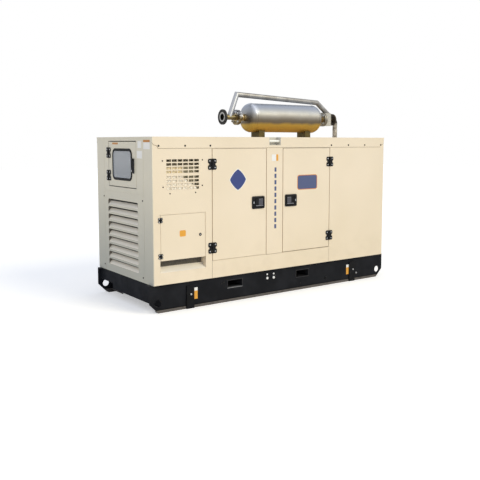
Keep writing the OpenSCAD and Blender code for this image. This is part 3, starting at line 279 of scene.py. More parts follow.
def turned_flange_steel():
    """Turned steel flanges with lathe marks; their colour holds painted reflections: a bluish highlight above
    the axis, a warm brown reflection below it, and a light gold highlight on the neck.
    """
    made = Finish("turned_flange_steel", "stainless", 1.0, 0.36)
    bare = made.blend((30, 3.0), (0.4, 0.6), "#aeb1ba", "#4a4b52")
    browned = made.blend((30, 3.0), (0.4, 0.6), "#a39270", "#6b5d41")
    # Painted reflections: the bluish highlight above the axis and the warm brown below it
    near = made.blend(made.z, (AXIS_Z - 0.01, AXIS_Z + 0.02), browned, bare)
    grey = made.blend(made.x, (vessel_high.x - 0.1, vessel_high.x - 0.05), near, "#a09c92")
    reach = made.off_axis()
    rings = add(made.tree, "ShaderNodeTexNoise", {"W": reach, "Scale": per_metre(3)}, noise_dimensions="1D")
    # Painted highlight: the narrow neck is given a light gold, brighter than its shade
    made.give(Base_Color=made.blend(reach, (0.05, 0.03), grey, "#c0ab7c", (0.0, 0.8)))
    return made.grain(0.1, 0.35, rings.outputs["Fac"])


def hot_dip_zinc():
    """Hot-dip galvanised steel: pale grey spangle, 10 to 20 mm across."""
    made = Finish("hot_dip_zinc", "galvanised", 0.75, 0.42)
    spangle = add(made.tree, "ShaderNodeTexVoronoi", {"Vector": made.place, "Scale": per_metre(14)})
    flake = add(made.tree, "ShaderNodeSeparateColor", {"Color": spangle.outputs["Color"]}).outputs["Red"]
    gloss = add(made.tree, "ShaderNodeMapRange", {"Value": flake, "To Min": 0.34, "To Max": 0.5})
    return made.give(Base_Color=made.blend(flake, (0.0, 1.0), "#c7cbc6", "#a9aeab"),
                     Roughness=gloss.outputs["Result"])


def toughened_glass():
    """Toughened float glass, 5 mm, with a grey body tint and a slight haze."""
    made = Finish("toughened_glass", "window_glass", 0.0, 0.03, Base_Color="#d3d5d5", IOR=1.52,
                  Transmission_Weight=0.5)
    return made.give(Roughness=made.share((120, 3.0), (0.3, 0.7), (0.02, 0.09)))


def acoustic_foam():
    """Open-cell polyether foam, charcoal, with cells drawn at 4 mm."""
    made = Finish("acoustic_foam", "acoustic_foam", 0.0, 0.95)
    cells = add(made.tree, "ShaderNodeTexVoronoi", {"Vector": made.place, "Scale": per_metre(4)})
    depth = cells.outputs["Distance"]
    return made.give(Base_Color=made.blend(depth, (0.0, 1.0), "#2b2c2d", "#444648")).grain(1.0, 0.7, depth)


def scuffed_pocket_paint():
    """Black paint inside the fork pockets, scratched along by forks, with a painted highlight on the first
    one's lip.
    """
    made = Finish("scuffed_pocket_paint", "black_paint", 0.0, 0.5)
    scratches = (9, 4.0, (1.0, 0.08, 1.0))
    tone = made.blend(scratches, (0.45, 0.7), "#191a1e", "#28292c")
    # Painted highlight: a grey strip on the floor at the first pocket's mouth
    lip = made.blend(made.y, (FRONT + 0.07, FRONT + 0.04), tone, "#7c7d7f")
    low_lip = made.blend(made.z, (0.1345, 0.1332), tone, lip)
    made.give(Base_Color=made.blend(made.x, (-0.2, -0.3), tone, low_lip))
    return made.grain(0.2, 0.3, scratches)


def louvre_coat(name, node, face_x, inward):
    """Powder coat on the blades, paler than the canopy's as painted light that they catch facing up, with
    painted shade on their inner edges and their end cheeks.
    """
    made = Finish(name, "cream_paint", 0.0, 0.45)
    low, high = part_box(node)
    soot = "#221f1b"
    # Painted shade deeper in than the blades and beyond their ends; the pale coat stands for the light on
    # them
    tone = made.blend(made.x, (face_x + inward * 0.031, face_x + inward * 0.0345), "#fff3dc", soot)
    for edge, way in ((high.y, -1), (low.y, 1)):
        tone = made.blend(made.y, (edge + way * 0.0088, edge + way * 0.0078), tone, soot)
    return made.give(Base_Color=tone).grain(0.12, 0.35, (7, 2.0))


def sooty_tray():
    """Pale grey-brown lining of the tray behind the side grille, with painted shade darkening its head."""
    made = Finish("sooty_tray", "cream_paint", 0.0, 0.7)
    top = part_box("inlet_baffle")[1].z
    soot = made.blend((60, 4.0), (0.35, 0.7), "#655840", "#4a4232")
    # Painted shade: the tray's head is dark, its lower part pale grey-brown
    made.give(Base_Color=made.blend(made.z, (top - 0.088, top - 0.098), soot, "#a39b80"))
    return made.grain(0.1, 0.3, (6, 3.0))


def pale_deflector():
    """Pale paint of the sheet behind the grille, paler than the canopy's as painted light, darker and
    yellower towards its top.
    """
    made = Finish("pale_deflector_paint", "cream_paint", 0.0, 0.45)
    # Painted light: the sheet is paler than the canopy, standing for sunlight that falls in through the
    # grille
    top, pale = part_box("inlet_baffle")[1].z, "#fff6e4"
    yellowed = made.blend((50, 3.0), (0.3, 0.6), pale, "#f3e0b2", (0.7, 1.0))
    made.give(Base_Color=made.blend(made.z, (top - 0.175, top - 0.155), pale, yellowed))
    return made.grain(0.04, 0.3, (3, 2.0))


def two_tone(name, slot, metallic, roughness, tones, patch, grain=None, **more):
    """A finish of two tones; patch gives a source and its span, grain a depth, a strength and a source."""
    made = Finish(name, slot, metallic, roughness, **more)
    made.give(Base_Color=made.blend(*patch, *tones))
    return made.grain(*grain) if grain else made


def plain(name, slot, colour, roughness=0.35, metallic=0.0, grain_mm=3, depth_mm=0.04):
    """One colour with a faint surface texture, as on moulded plastic and vinyl film."""
    return Finish(name, slot, metallic, roughness, Base_Color=colour).grain(depth_mm, 0.3, (grain_mm, 2.0))


IVORY = ivory_powder_coat()
SKID = black_skid_paint()
STAINLESS = rolled_stainless()
TUBE = pickled_tube()
HOT_OUTLET = heat_tinted_outlet()
FLANGE_STEEL = turned_flange_steel()
ZINC = hot_dip_zinc()
GLASS = toughened_glass()
FOAM = acoustic_foam()
POCKET = scuffed_pocket_paint()
INTAKE_LOUVRE = louvre_coat("intake_louvre_coat", "intake_blades", WEST, 1)
OUTLET_LOUVRE = louvre_coat("outlet_louvre_coat", "outlet_blades", EAST, -1)
TRAY = sooty_tray()
DEFLECTOR = pale_deflector()
# Light grey textured paint of the control compartment and the valve box
PANEL_GREY = two_tone("grey_panel_paint", "grey_paint", 0.0, 0.48, ("#c8c5bb", "#b9b6ac"),
                      ((80, 3.0), (0.4, 0.7)), (0.15, 0.4, (5, 2.0)))
# Folded saddle plates: unpainted stainless, dark olive-brown
SADDLE = two_tone("saddle_plate", "stainless", 0.8, 0.5, ("#5f5433", "#4b4126"),
                  ((60, 4.0), (0.35, 0.7)), (0.1, 0.3, (5, 3.0)))
# Cast iron elbow, blackened by heat, rough from the sand mould
ELBOW = two_tone("cast_elbow", "dark_steel", 0.85, 0.55, ("#3b3936", "#5c5144"),
                 ((35, 4.0), (0.35, 0.7)), (0.4, 0.6, (3, 3.0)))
# Mid grey engine enamel over castings, with soft cast texture
ENAMEL = two_tone("engine_enamel", "dark_steel", 0.0, 0.4, ("#5f6a6e", "#4b5356"),
                  ((90, 4.0), (0.35, 0.7)), (0.3, 0.5, (4, 3.0)))
# Stainless convoluted hose, in patches of bright and sooty grey
HOSE = two_tone("convoluted_hose", "stainless", 0.9, 0.45, ("#d3cdc2", "#8f897f"),
                ((30, 4.0), (0.35, 0.65)), (0.2, 0.4, (3, 2.0)))
# Dull black paint of the upright pads, darker than the beam
PAD = two_tone("dull_pad_paint", "black_paint", 0.0, 0.6, ("#0c0d10", "#141519"),
               ((70, 3.0), (0.4, 0.7)), (0.15, 0.4, (6, 3.0)), Specular_IOR_Level=0.15)
# Black glass-filled nylon: its mould's spark-eroded grain is 0.5 mm and is drawn at 2 mm
NYLON = two_tone("moulded_nylon", "black_plastic", 0.0, 0.36, ("#0d0e10", "#131416"),
                 ((40, 2.0), (0.4, 0.7)), (0.06, 0.4, (2, 2.0)), Specular_IOR_Level=0.22)
# Black EPDM window seal, slightly dusty and smooth
RUBBER = two_tone("extruded_rubber", "rubber", 0.0, 0.5, ("#0b0c0e", "#141517"),
                  ((60, 3.0), (0.4, 0.7)), Specular_IOR_Level=0.15)
# Bright zinc-plated screws and bolts, black-oxide ones with a dull glint, and tinned copper
BRIGHT = plain("bright_zinc", "galvanised", "#d4d6d8", 0.28, 1.0, 1.5, 0.05)
BLACKENED = plain("blackened_steel", "galvanised", "#1d1b19", 0.6, 0.3, 2, 0.05)
COPPER = Finish("tinned_copper", "galvanised", 1.0, 0.35, Base_Color="#c98a5e")
# Pale grey PVC strip that locks the seal round the pane
FILLER = plain("filler_strip_plastic", "grey_paint", "#b9bcbe", grain_mm=4, depth_mm=0.05)
# Painted reflection on the paddles' lighter pull half, and painted highlights on the pale strips along their
# edges
PULL = plain("worn_nylon_pull", "black_plastic", "#4a4a52", 0.4)
EDGE = plain("rubbed_nylon_edge", "black_plastic", "#85858b", 0.4)
# Dark bead under the roof flange's edge, a painted shadow
SEALANT = plain("seam_sealant", "cream_paint", "#8a795b", 0.6)
# Grey-brown rubber of the cable curtain, a dark sheet standing for the shade at the back of the cable recess
CURTAIN = plain("dusty_curtain_rubber", "rubber", "#5a554b", 0.7)
MESH_WIRE = plain("coated_mesh_wire", "galvanised", "#b5a888", 0.5)
POCKET_ENAMEL = plain("pale_pocket_enamel", "galvanised", "#d6d0c1", 0.4)
# Near-white paint of the lifting bars, a painted highlight along them
BAR_ENAMEL = plain("white_bar_enamel", "galvanised", "#fffdf2", 0.4)
WHITE_CAP = plain("white_nylon_cap", "galvanised", "#f1f1ee")
DARK_SCREEN = plain("dark_screen", "black_plastic", "#20262b", 0.15)
RED_PLASTIC = plain("red_mushroom_button", "black_plastic", "#b3201c")
GREEN_PLASTIC = plain("green_push_button", "black_plastic", "#2f7d46")
# Printed vinyl films, smooth and flat in colour
FILM_COLOURS = {"blue": "#34437f", "slate": "#4f5a80", "white": "#f4f3ef", "warm_white": "#fffaee",
                "ochre": "#cc8325", "amber": "#e9a63a", "rust": "#d98b4a"}
FILMS = {key: plain(key + "_vinyl_film", "cream_paint", colour) for key, colour in FILM_COLOURS.items()}

SLOT_FINISH = {finish.slot: finish for finish in (
    IVORY, SKID, PANEL_GREY, STAINLESS, ZINC, ELBOW, NYLON, RUBBER, GLASS, FOAM)}
NODE_FINISH = {
    "outlet_pipe": HOT_OUTLET, "joint_flanges": FLANGE_STEEL, "inlet_neck": FLANGE_STEEL,
    "silencer_saddles": SADDLE, "bypass_pipe": TUBE, "flexible_hose": HOSE, "fork_pockets": POCKET,
    "base_pads": PAD, "intake_blades": INTAKE_LOUVRE, "outlet_blades": OUTLET_LOUVRE,
    "inlet_baffle": TRAY, "engine_block": ENAMEL, "alternator": ENAMEL, "lifting_pockets": POCKET_ENAMEL,
}


def dress_nodes():
    """Gives each node of the frame its finish."""
    slots = {s["node"]: s["material_slot"] for s in frame["record"]["subparts"]}
    for name, node in frame["nodes"].items():
        finish = NODE_FINISH.get(name, SLOT_FINISH[slots[name]])
        if not node.material_slots:
            node.data.materials.append(finish.material)
        for held in node.material_slots:
            held.material = finish.material


# Closed shells in a face's own millimetres: each is a list of points and a list of faces

def sweep(rings, looped=False):
    """Joins rings of points into one shell; a looped sweep meets its own start and has no caps."""
    n = len(rings[0])
    points = [p for ring in rings for p in ring]
    faces = []
    for k in range(len(rings) if looped else len(rings) - 1):
        a, b = k * n, (k + 1) % len(rings) * n
        faces += [(a + i, a + (i + 1) % n, b + (i + 1) % n, b + i) for i in range(n)]
    if not looped:
        faces += [tuple(range(n)), tuple(range(len(points) - n, len(points)))]
    return points, faces


def turns(count):
    """Angles of points spread evenly round a circle."""
    return [math.tau * i / count for i in range(count)]


def rounded(u, v, width, height, radius, w, steps=5):
    """A rounded rectangle about u, v at a height w over the face."""
    points = []
    half_w, half_h = width / 2 - radius, height / 2 - radius
    for quarter, (cu, cv) in enumerate(((half_w, half_h), (-half_w, half_h),
                                        (-half_w, -half_h), (half_w, -half_h))):
        for k in range(steps + 1):
            a = math.radians(90 * (quarter + k / steps))
            points.append((u + cu + radius * math.cos(a), v + cv + radius * math.sin(a), w))
    return points


def circle(u, v, radius, w, count=24):
    """A circle about u, v at a height w over the face."""
    return [(u + radius * math.cos(a), v + radius * math.sin(a), w) for a in turns(count)]


def plate(u, v, width, height, radius, low, high, soft=1.0):
    """A rounded plate with a softened outer edge."""
    return sweep([rounded(u, v, width, height, radius, low),
                  rounded(u, v, width, height, radius, high - soft),
                  rounded(u, v, width - 2 * soft, height - 2 * soft, max(radius - soft, 0.2), high)])


def disc(u, v, radius, low, high, soft=1.0, count=24):
    """A round boss with a softened outer edge."""
    return sweep([circle(u, v, radius, low, count), circle(u, v, radius, high - soft, count),
                  circle(u, v, radius - soft, high, count)])


def block(low, high):
    """A plain box between two corners."""
    (a, b, c), (d, e, f) = low, high
    return sweep([[(a, b, w), (d, b, w), (d, e, w), (a, e, w)] for w in (c, f)])


def bead(path, radius, w, sides=8):
    """A round bar along a path in u and v, at one height over the face."""
    rings = []
    for k, (u, v) in enumerate(path):
        (u0, v0), (u1, v1) = path[max(k - 1, 0)], path[min(k + 1, len(path) - 1)]
        length = math.hypot(u1 - u0, v1 - v0)
        side_u, side_v = -(v1 - v0) / length, (u1 - u0) / length
        rings.append([(u + side_u * radius * math.cos(a), v + side_v * radius * math.cos(a),
                       w + radius * math.sin(a)) for a in turns(sides)])
    return sweep(rings)


def add_piece(name, mesh, body):
    """Puts a mesh into the scene as a piece of a body."""
    piece = bpy.data.objects.new(name, mesh)
    bpy.context.scene.collection.objects.link(piece)
    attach(piece, body)
    return piece


def make(name, finish, shapes, body="canopy", bevel=0.0, smooth=40.0, instead_of=None):
    """Builds one piece from shells on faces; their millimetres become the frame's metres."""
    grown = bmesh.new()
    for face, shells in shapes.items():
        for points, faces in shells:
            made = [grown.verts.new(face(*p)) for p in points]
            for corners in faces:
                grown.faces.new([made[i] for i in corners])
    bmesh.ops.recalc_face_normals(grown, faces=grown.faces)
    mesh = bpy.data.meshes.new(name)
    grown.to_mesh(mesh)
    grown.free()
    mesh.polygons.foreach_set("use_smooth", [True] * len(mesh.polygons))
    mesh.set_sharp_from_angle(angle=math.radians(smooth))
    mesh.materials.append(finish.material)
    piece = add_piece(name, mesh, body)
    if bevel:
        edge = piece.modifiers.new("soft_edges", "BEVEL")
        edge.width = bevel * MM
        edge.segments = 2
        edge.limit_method = "ANGLE"
        edge.angle_limit = math.radians(35)
    if instead_of:
        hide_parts(instead_of)


# Geometry Nodes: one tree puts a fastener on each point of a mesh, turned to face the point's way

def fastener_tree(name, sides, top_share):
    """A tree that stands a tapered head on a washer at each point."""
    tree = bpy.data.node_groups.new(name, "GeometryNodeTree")
    for label, kind, way in (
            ("Points", "Geometry", "INPUT"), ("Head radius", "Float", "INPUT"),
            ("Head height", "Float", "INPUT"), ("Washer radius", "Float", "INPUT"),
            ("Washer height", "Float", "INPUT"), ("Finish", "Material", "INPUT"),
            ("Fasteners", "Geometry", "OUTPUT")):
        tree.interface.new_socket(label, in_out=way, socket_type="NodeSocket" + kind)
    given = add(tree, "NodeGroupInput").outputs
    top = add(tree, "ShaderNodeMath", {0: given["Head radius"], 1: top_share}, operation="MULTIPLY")
    half = add(tree, "ShaderNodeMath", {0: given["Washer height"], 1: 0.5}, operation="MULTIPLY")
    washer = add(tree, "GeometryNodeMeshCylinder", {
        "Vertices": 20, "Radius": given["Washer radius"], "Depth": given["Washer height"]})
    head = add(tree, "GeometryNodeMeshCone", {
        "Vertices": sides, "Side Segments": 1, "Depth": given["Head height"],
        "Radius Top": top.outputs["Value"], "Radius Bottom": given["Head radius"]})
    both = add(tree, "GeometryNodeJoinGeometry")
    for part, lift in ((washer, half.outputs["Value"]), (head, given["Washer height"])):
        up = add(tree, "ShaderNodeCombineXYZ", {"Z": lift})
        feed(tree, both, {"Geometry": add(tree, "GeometryNodeTransform", {
            "Geometry": part.outputs["Mesh"], "Translation": up.outputs["Vector"]}).outputs["Geometry"]})
    facing = add(tree, "GeometryNodeInputNamedAttribute", {"Name": "facing"}, data_type="FLOAT_VECTOR")
    turn = add(tree, "FunctionNodeAlignRotationToVector", {"Vector": facing.outputs["Attribute"]},
               axis="Z")
    copies = add(tree, "GeometryNodeInstanceOnPoints", {
        "Points": given["Points"], "Instance": both.outputs["Geometry"],
        "Rotation": turn.outputs["Rotation"]})
    real = add(tree, "GeometryNodeRealizeInstances", {"Geometry": copies.outputs["Instances"]})
    painted = add(tree, "GeometryNodeSetMaterial", {
        "Geometry": real.outputs["Geometry"], "Material": given["Finish"]})
    add(tree, "NodeGroupOutput", {"Fasteners": painted.outputs["Geometry"]})
    return tree


DOME_SCREW = fastener_tree("dome_screw_on_each_point", 16, 0.72)
HEX_BOLT = fastener_tree("hex_bolt_on_each_point", 6, 0.94)


def fasten(name, finish, tree, places, head, high, washer, washer_high=1.2, body="canopy"):
    """Runs a fastener tree over (place, facing) pairs and keeps the result as one plain mesh."""
    points = bpy.data.meshes.new(name + "_points")
    points.from_pydata([p for p, _ in places], [], [])
    facing = points.attributes.new("facing", "FLOAT_VECTOR", "POINT")
    for item, (_, way) in zip(facing.data, places):
        item.vector = way
    carrier = bpy.data.objects.new(name + "_points", points)
    bpy.context.scene.collection.objects.link(carrier)
    modifier = carrier.modifiers.new("fasteners", "NODES")
    modifier.node_group = tree
    sizes = {"Head radius": head / 2 * MM, "Head height": high * MM, "Washer radius": washer / 2 * MM,
             "Washer height": washer_high * MM, "Finish": finish.material}
    for item in tree.interface.items_tree:
        if item.name in sizes:
            modifier[item.identifier] = sizes[item.name]
    solved = carrier.evaluated_get(bpy.context.evaluated_depsgraph_get())
    mesh = bpy.data.meshes.new_from_object(solved)
    bpy.data.objects.remove(carrier)
    mesh.name = name
    add_piece(name, mesh, body)


def on(face, *places):
    """Pairs each place on a face with the way that the face looks."""
    out = (face(0, 0, 1) - face(0, 0, 0)).normalized()
    return [(face(*p), out) for p in places]


# Latches

LATCH_SOFT = 3.0
LATCH_CORNER = 14.0
LATCH_OUT = 11.0
PADDLE_PIN_SEAT = 5.0
PADDLE_GAP = 5.0
LATCH_SIDES = (("left", 1), ("right", -1))


def latch_shells(side, free_side):
    """Shells of one latch, from its case and its paddle on the service face, and its keyway's place."""
    case_u, case_v, case_w, case_h = middle_and_size(side + "_latch")
    paddle_u, paddle_v, reach, paddle_h = middle_and_size(side + "_paddle")
    well_w, well_h = reach - 2 * PADDLE_PIN_SEAT, paddle_h + 2 * PADDLE_GAP
    grip_w, out = well_w - 2 * PADDLE_GAP, LATCH_OUT
    rim = [rounded(case_u, case_v, case_w - 2 * inset, case_h - 2 * inset, LATCH_CORNER - inset, w)
           for inset, w in ((0, 0), (0, out - LATCH_SOFT), (1, out - 1), (LATCH_SOFT, out))]
    rim += [rounded(paddle_u, paddle_v, well_w + more, well_h + more, corner, w)
            for more, corner, w in ((3, 7, out), (0, 6, out - 2), (0, 6, 0))]
    lock_u = (case_u - free_side * case_w / 2 + paddle_u - free_side * well_w / 2) / 2
    pull_u, pull_w = paddle_u + free_side * grip_w * 0.17, grip_w * 0.56
    shells = {
        "case": [sweep(rim, looped=True),
                 plate(paddle_u, paddle_v, well_w + 1, well_h + 1, 6, 0.2, 1.6, 0.3),
                 disc(lock_u, case_v, 12.5, out - 1, out + 0.8, 0.5)],
        "grip": [plate(paddle_u, paddle_v, grip_w, paddle_h, 5, out - 5, out, 1.5)],
        # Painted reflection on the pull's lighter half; painted highlights on the strips along the paddle's
        # top and bottom
        "pull": [plate(pull_u, paddle_v, pull_w, paddle_h - 22, 5, out - 1, out + 1.4, 1.0)],
        "edges": [plate(pull_u, paddle_v + paddle_h / 2 - 5, pull_w, 6, 2.5, out - 1, out + 1.8, 1.0),
                  plate(paddle_u, paddle_v - paddle_h / 2 + 5, grip_w - 4, 7, 3, out - 1, out + 1.8, 1.2)],
        "lock": [sweep([rounded(lock_u, case_v, 11 - less, 21 - less, corner, out + w)
                        for less, corner, w in ((0, 5, 0), (0, 5, 1.4), (1.2, 4.5, 2))])],
    }
    return shells, (lock_u, case_v, out + 2)


def latches():
    """The two front latches, each with its case on the door and its paddle on its own body."""
    for side, free_side in LATCH_SIDES:
        shells, (u, v, w) = latch_shells(side, free_side)
        door, paddle = side + "_door", side + "_paddle"
        make(side + "_latch_case", NYLON, {service: shells["case"]}, door, 0.6, instead_of=side + "_latch")
        make(side + "_latch_grip", NYLON, {service: shells["grip"]}, paddle, 0.6, instead_of=paddle)
        for part, finish, body in (("pull", PULL, paddle), ("edges", EDGE, paddle), ("lock", BRIGHT, door)):
            make(side + "_latch_" + part, finish, {service: shells[part]}, body)
        keyway = plate(u, v, 2.2, 9, 1, w - 0.5, w + 0.2, 0.1)
        make(side + "_latch_keyway", NYLON, {service: [keyway]}, door)


# Hinges: each size is a width and a height

HINGE = (92.0, 100.0)
SMALL_HINGE = (45.0, 44.0)
PIN_INSET = 7.0
LEAF_THICK = 5.0
LEAF_ROOT = 8.0
SCREW_SHARE = 0.31


def leaf_outline(u, v, side, width, height, w):
    """Outline of a leaf with two lobes: rounded corners and a notch in the middle of its far edge."""
    tip, half, curve = width / 2, height / 2, 0.13 * height
    angles = [math.radians(22.5 * k) for k in range(9)]
    points = [(LEAF_ROOT, -half)]
    points += [(tip - curve + curve * math.sin(a), -half + curve - curve * math.cos(a))
               for a in angles[:5]]
    points += [(tip - curve * math.sin(a), -curve * math.cos(a)) for a in angles]
    points += [(tip - curve + curve * math.cos(a), half - curve + curve * math.sin(a))
               for a in angles[:5]]
    points.append((LEAF_ROOT, half))
    return [(u + side * p, v + q, w) for p, q in points]


def hinge_leaf(u, v, side, size, outer):
    """One leaf: the frame's leaf holds the middle knuckle, and the door's leaf the two outer ones."""
    width, height = size
    shells = [sweep([leaf_outline(u, v, side, width, height, w) for w in (0, LEAF_THICK)])]
    half, sixth = height / 2, height / 6
    for low, high in ((-half, -sixth - 0.4), (sixth + 0.4, half)) if outer else ((-sixth, sixth),):
        shells.append(bead([(u, v + low), (u, v + high)], PIN_INSET, PIN_INSET, 20))
        shells.append(block((u, v + low, 0.5), (u + side * 9, v + high, LEAF_THICK - 1)))
    return shells


def leaf_screws(face, u, v, side, size):
    """Places of the two screws of a leaf."""
    width, height = size
    return on(face, *[(u + side * SCREW_SHARE * width, v + k * SCREW_SHARE * height, LEAF_THICK)
                      for k in (-1, 1)])


def hinges():
    """All hinges: fixed leaves on the canopy, moving leaves on their doors, and the back pair whole."""
    fixed, fixed_screws, rear, rear_screws = {service: [], intake_end: []}, [], [], []
    for body, face, side, size in (("left_door", service, 1, HINGE), ("right_door", service, -1, HINGE),
                                   ("power_door", service, 1, SMALL_HINGE),
                                   ("control_door", intake_end, -1, HINGE)):
        low_u, high_u, low_v, high_v = extent(body + "_hinges", face)
        u = low_u + PIN_INSET if side > 0 else high_u - PIN_INSET
        moving, moving_screws = [], []
        for v in (low_v + size[1] / 2, high_v - size[1] / 2):
            moving += hinge_leaf(u, v, side, size, True)
            fixed[face] += hinge_leaf(u, v, -side, size, False)
            moving_screws += leaf_screws(face, u, v, side, size)
            fixed_screws += leaf_screws(face, u, v, -side, size)
            if body in ("left_door", "right_door"):
                rear += hinge_leaf(u, v, side, size, True) + hinge_leaf(u, v, -side, size, False)
                rear_screws += leaf_screws(back_side, u, v, side, size)
                rear_screws += leaf_screws(back_side, u, v, -side, size)
        make(body + "_hinge_leaves", NYLON, {face: moving}, body, 0.8, instead_of=body + "_hinges")
        head = 9.0 if size is HINGE else 6.0
        fasten(body + "_hinge_screws", BRIGHT, DOME_SCREW, moving_screws, head, 2.0, head + 3, body=body)
    make("fixed_hinge_leaves_dressed", NYLON, fixed, bevel=0.8, instead_of="fixed_hinge_leaves")
    fasten("fixed_hinge_screws", BRIGHT, DOME_SCREW, fixed_screws, 9, 2.0, 12)
    pairs = [latch_shells(*pair)[0] for pair in LATCH_SIDES]
    for shells in pairs:
        rear += shells["case"] + shells["grip"]
    make("back_latches_and_hinges", NYLON, {back_side: rear}, bevel=0.6, instead_of="back_fittings")
    for name, finish, part in (("locks", BRIGHT, "lock"), ("pulls", PULL, "pull"), ("edges", EDGE, "edges")):
        make("back_latch_" + name, finish, {back_side: pairs[0][part] + pairs[1][part]})
    fasten("back_hinge_screws", BRIGHT, DOME_SCREW, rear_screws, 9, 2.0, 12)


# Control door

SEAL_CORNER = 58.0
# Each pair is an inset from the seal's outline and a height over the door
SEAL_SECTION = ((0, 0), (0, 2.5), (2, 5), (6, 6), (13, 6), (19, 5), (23, 3), (26, 0.5), (26, -4),
                (24, -5), (13, -5), (13, 0))
STRIP_SECTION = ((24.5, 1.2), (25.5, 3.4), (28.5, 3.0), (30, 1.6), (30, -4.2), (26, -4.2))


def control_door():
    """Window seal with its filler strip, and the swing handle with its lock."""
    u, v, width, height = middle_and_size("control_gasket", intake_end)
    seal, strip = [[rounded(u, v, width - 2 * inset, height - 2 * inset, SEAL_CORNER - inset, w, 9)
                    for inset, w in section] for section in (SEAL_SECTION, STRIP_SECTION)]
    make("window_seal", RUBBER, {intake_end: [sweep(seal, True)]}, "control_door",
         instead_of="control_gasket")
    make("window_filler_strip", FILLER, {intake_end: [sweep(strip, True)]}, "control_door")
    low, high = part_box("control_handle")
    inner, outer = (WEST - high.x) / MM, (WEST - low.x) / MM
    u, v, width, length = middle_and_size("control_handle", intake_end)
    grip = sweep([rounded(u, v, width - less, length - less, corner, w)
                  for less, corner, w in ((4, 8, inner), (0, 10, inner + 2), (0, 10, outer - 3),
                                          (5, 8, outer))])
    rib = plate(u, v + 14, 9, length - 62, 4, outer - 0.5, outer, 0.2)
    make("control_swing_handle", NYLON, {intake_end: [grip, rib]}, "control_handle",
         instead_of="control_handle")
    lock = disc(u, v - length / 2 + 17, 7, outer - 1, outer + 0.1, 0.5)
    make("control_handle_lock", BRIGHT, {intake_end: [lock]}, "control_handle")


# Labels, left blank

FILM = 0.5
LOZENGE_POWER = 1.28
DASHES = 10
DASH_PITCH = 62


def film(u, v, width, height, corner, low=0.0):
    """A blank rectangle of film with rounded corners."""
    return plate(u, v, width, height, corner, low, low + FILM, 0.1)


def lozenge(u, v, width, height, low=0.0):
    """A blank lozenge of film with softened corners."""
    points = []
    for a in turns(48):
        c, s = math.cos(a), math.sin(a)
        reach = (abs(c) ** LOZENGE_POWER + abs(s) ** LOZENGE_POWER) ** (-1 / LOZENGE_POWER)
        points.append((u + width / 2 * reach * c, v + height / 2 * reach * s))
    return sweep([[(p, q, w) for p, q in points] for w in (low, low + FILM)])


# Films on each face: name, body, colour, then middle, size and corner, and what film it lies on
FILM_TABLE = {
    service: (
        ("right_door_panel_border", "right_door", "rust", 1768, 850, 268, 150, 26),
        ("right_door_panel", "right_door", "slate", 1768, 850, 254, 136, 20, FILM),
        ("pillar_dashes", "canopy", "slate", 1354, 428, 24, 42, 4),
        ("pillar_blank", "canopy", "white", 1335, 1102, 52, 62, 3),
        ("pillar_blank_band", "canopy", "amber", 1375, 1102, 26, 62, 3),
        ("power_door_patch", "power_door", "amber", 298, 443, 64, 56, 12)),
    intake_end: (
        ("control_door_tag", "control_door", "ochre", 730, 1240, 122, 17, 2),
        ("end_blank_a", "canopy", "warm_white", 233, 1231, 70, 60, 3),
        ("end_blank_b", "canopy", "warm_white", 99, 1222, 120, 62, 3),
        ("end_blank_b_band", "canopy", "ochre", 99, 1262, 120, 20, 2, FILM),
        ("end_blank_c", "canopy", "warm_white", 235, 1142, 100, 66, 3)),
    front_beam: (
        ("skid_tag_near", "canopy", "amber", 443, 117, 46, 76, 3),
        ("skid_tag_top_near", "canopy", "white", 443, 170, 46, 30, 3),
        ("skid_tag_far", "canopy", "amber", 2385, 117, 46, 76, 3),
        ("skid_tag_top_far", "canopy", "white", 2385, 170, 46, 30, 3)),
}


def labels():
    """Blank films where the machine carries its stickers."""
    make("left_door_lozenge_border", FILMS["white"], {service: [lozenge(904, 902, 196, 208)]}, "left_door")
    make("left_door_lozenge", FILMS["blue"], {service: [lozenge(904, 902, 182, 194, FILM)]}, "left_door")
    for face, rows in FILM_TABLE.items():
        for name, body, colour, u, v, *sizes in rows:
            count = DASHES if name == "pillar_dashes" else 1
            films = [film(u, v + DASH_PITCH * k, *sizes) for k in range(count)]
            make(name, FILMS[colour], {face: films}, body)


# Screws, bolts and plugs: their places are u, v and w on a face

ROOF_SCREWS = [(u, 1221, 3) for u in (62, 328, 594, 2093, 2340, 2585, 2835)]
GRILLE_SCREWS = [(100, 1091), (509, 1094), (104, 862), (507, 864), (173, 803), (436, 803)]
INTAKE_SCREWS = [(994, 728), (185, 735), (1001, 52), (190, 44)]
OUTLET_SCREWS = [(u, v) for u in (190, 950) for v in (44, 640, 1240)]
PAD_BOLTS = [(391, 131, 12), (2452, 128, 12)]
DULL_BOLTS = [(733, 185), (757, 190), (1707, 67)]
SKID_PORTS = [(1275, 171), (1356, 169)]
DOOR_LOCK = (483, 419)
DRAIN = (2059, 78)


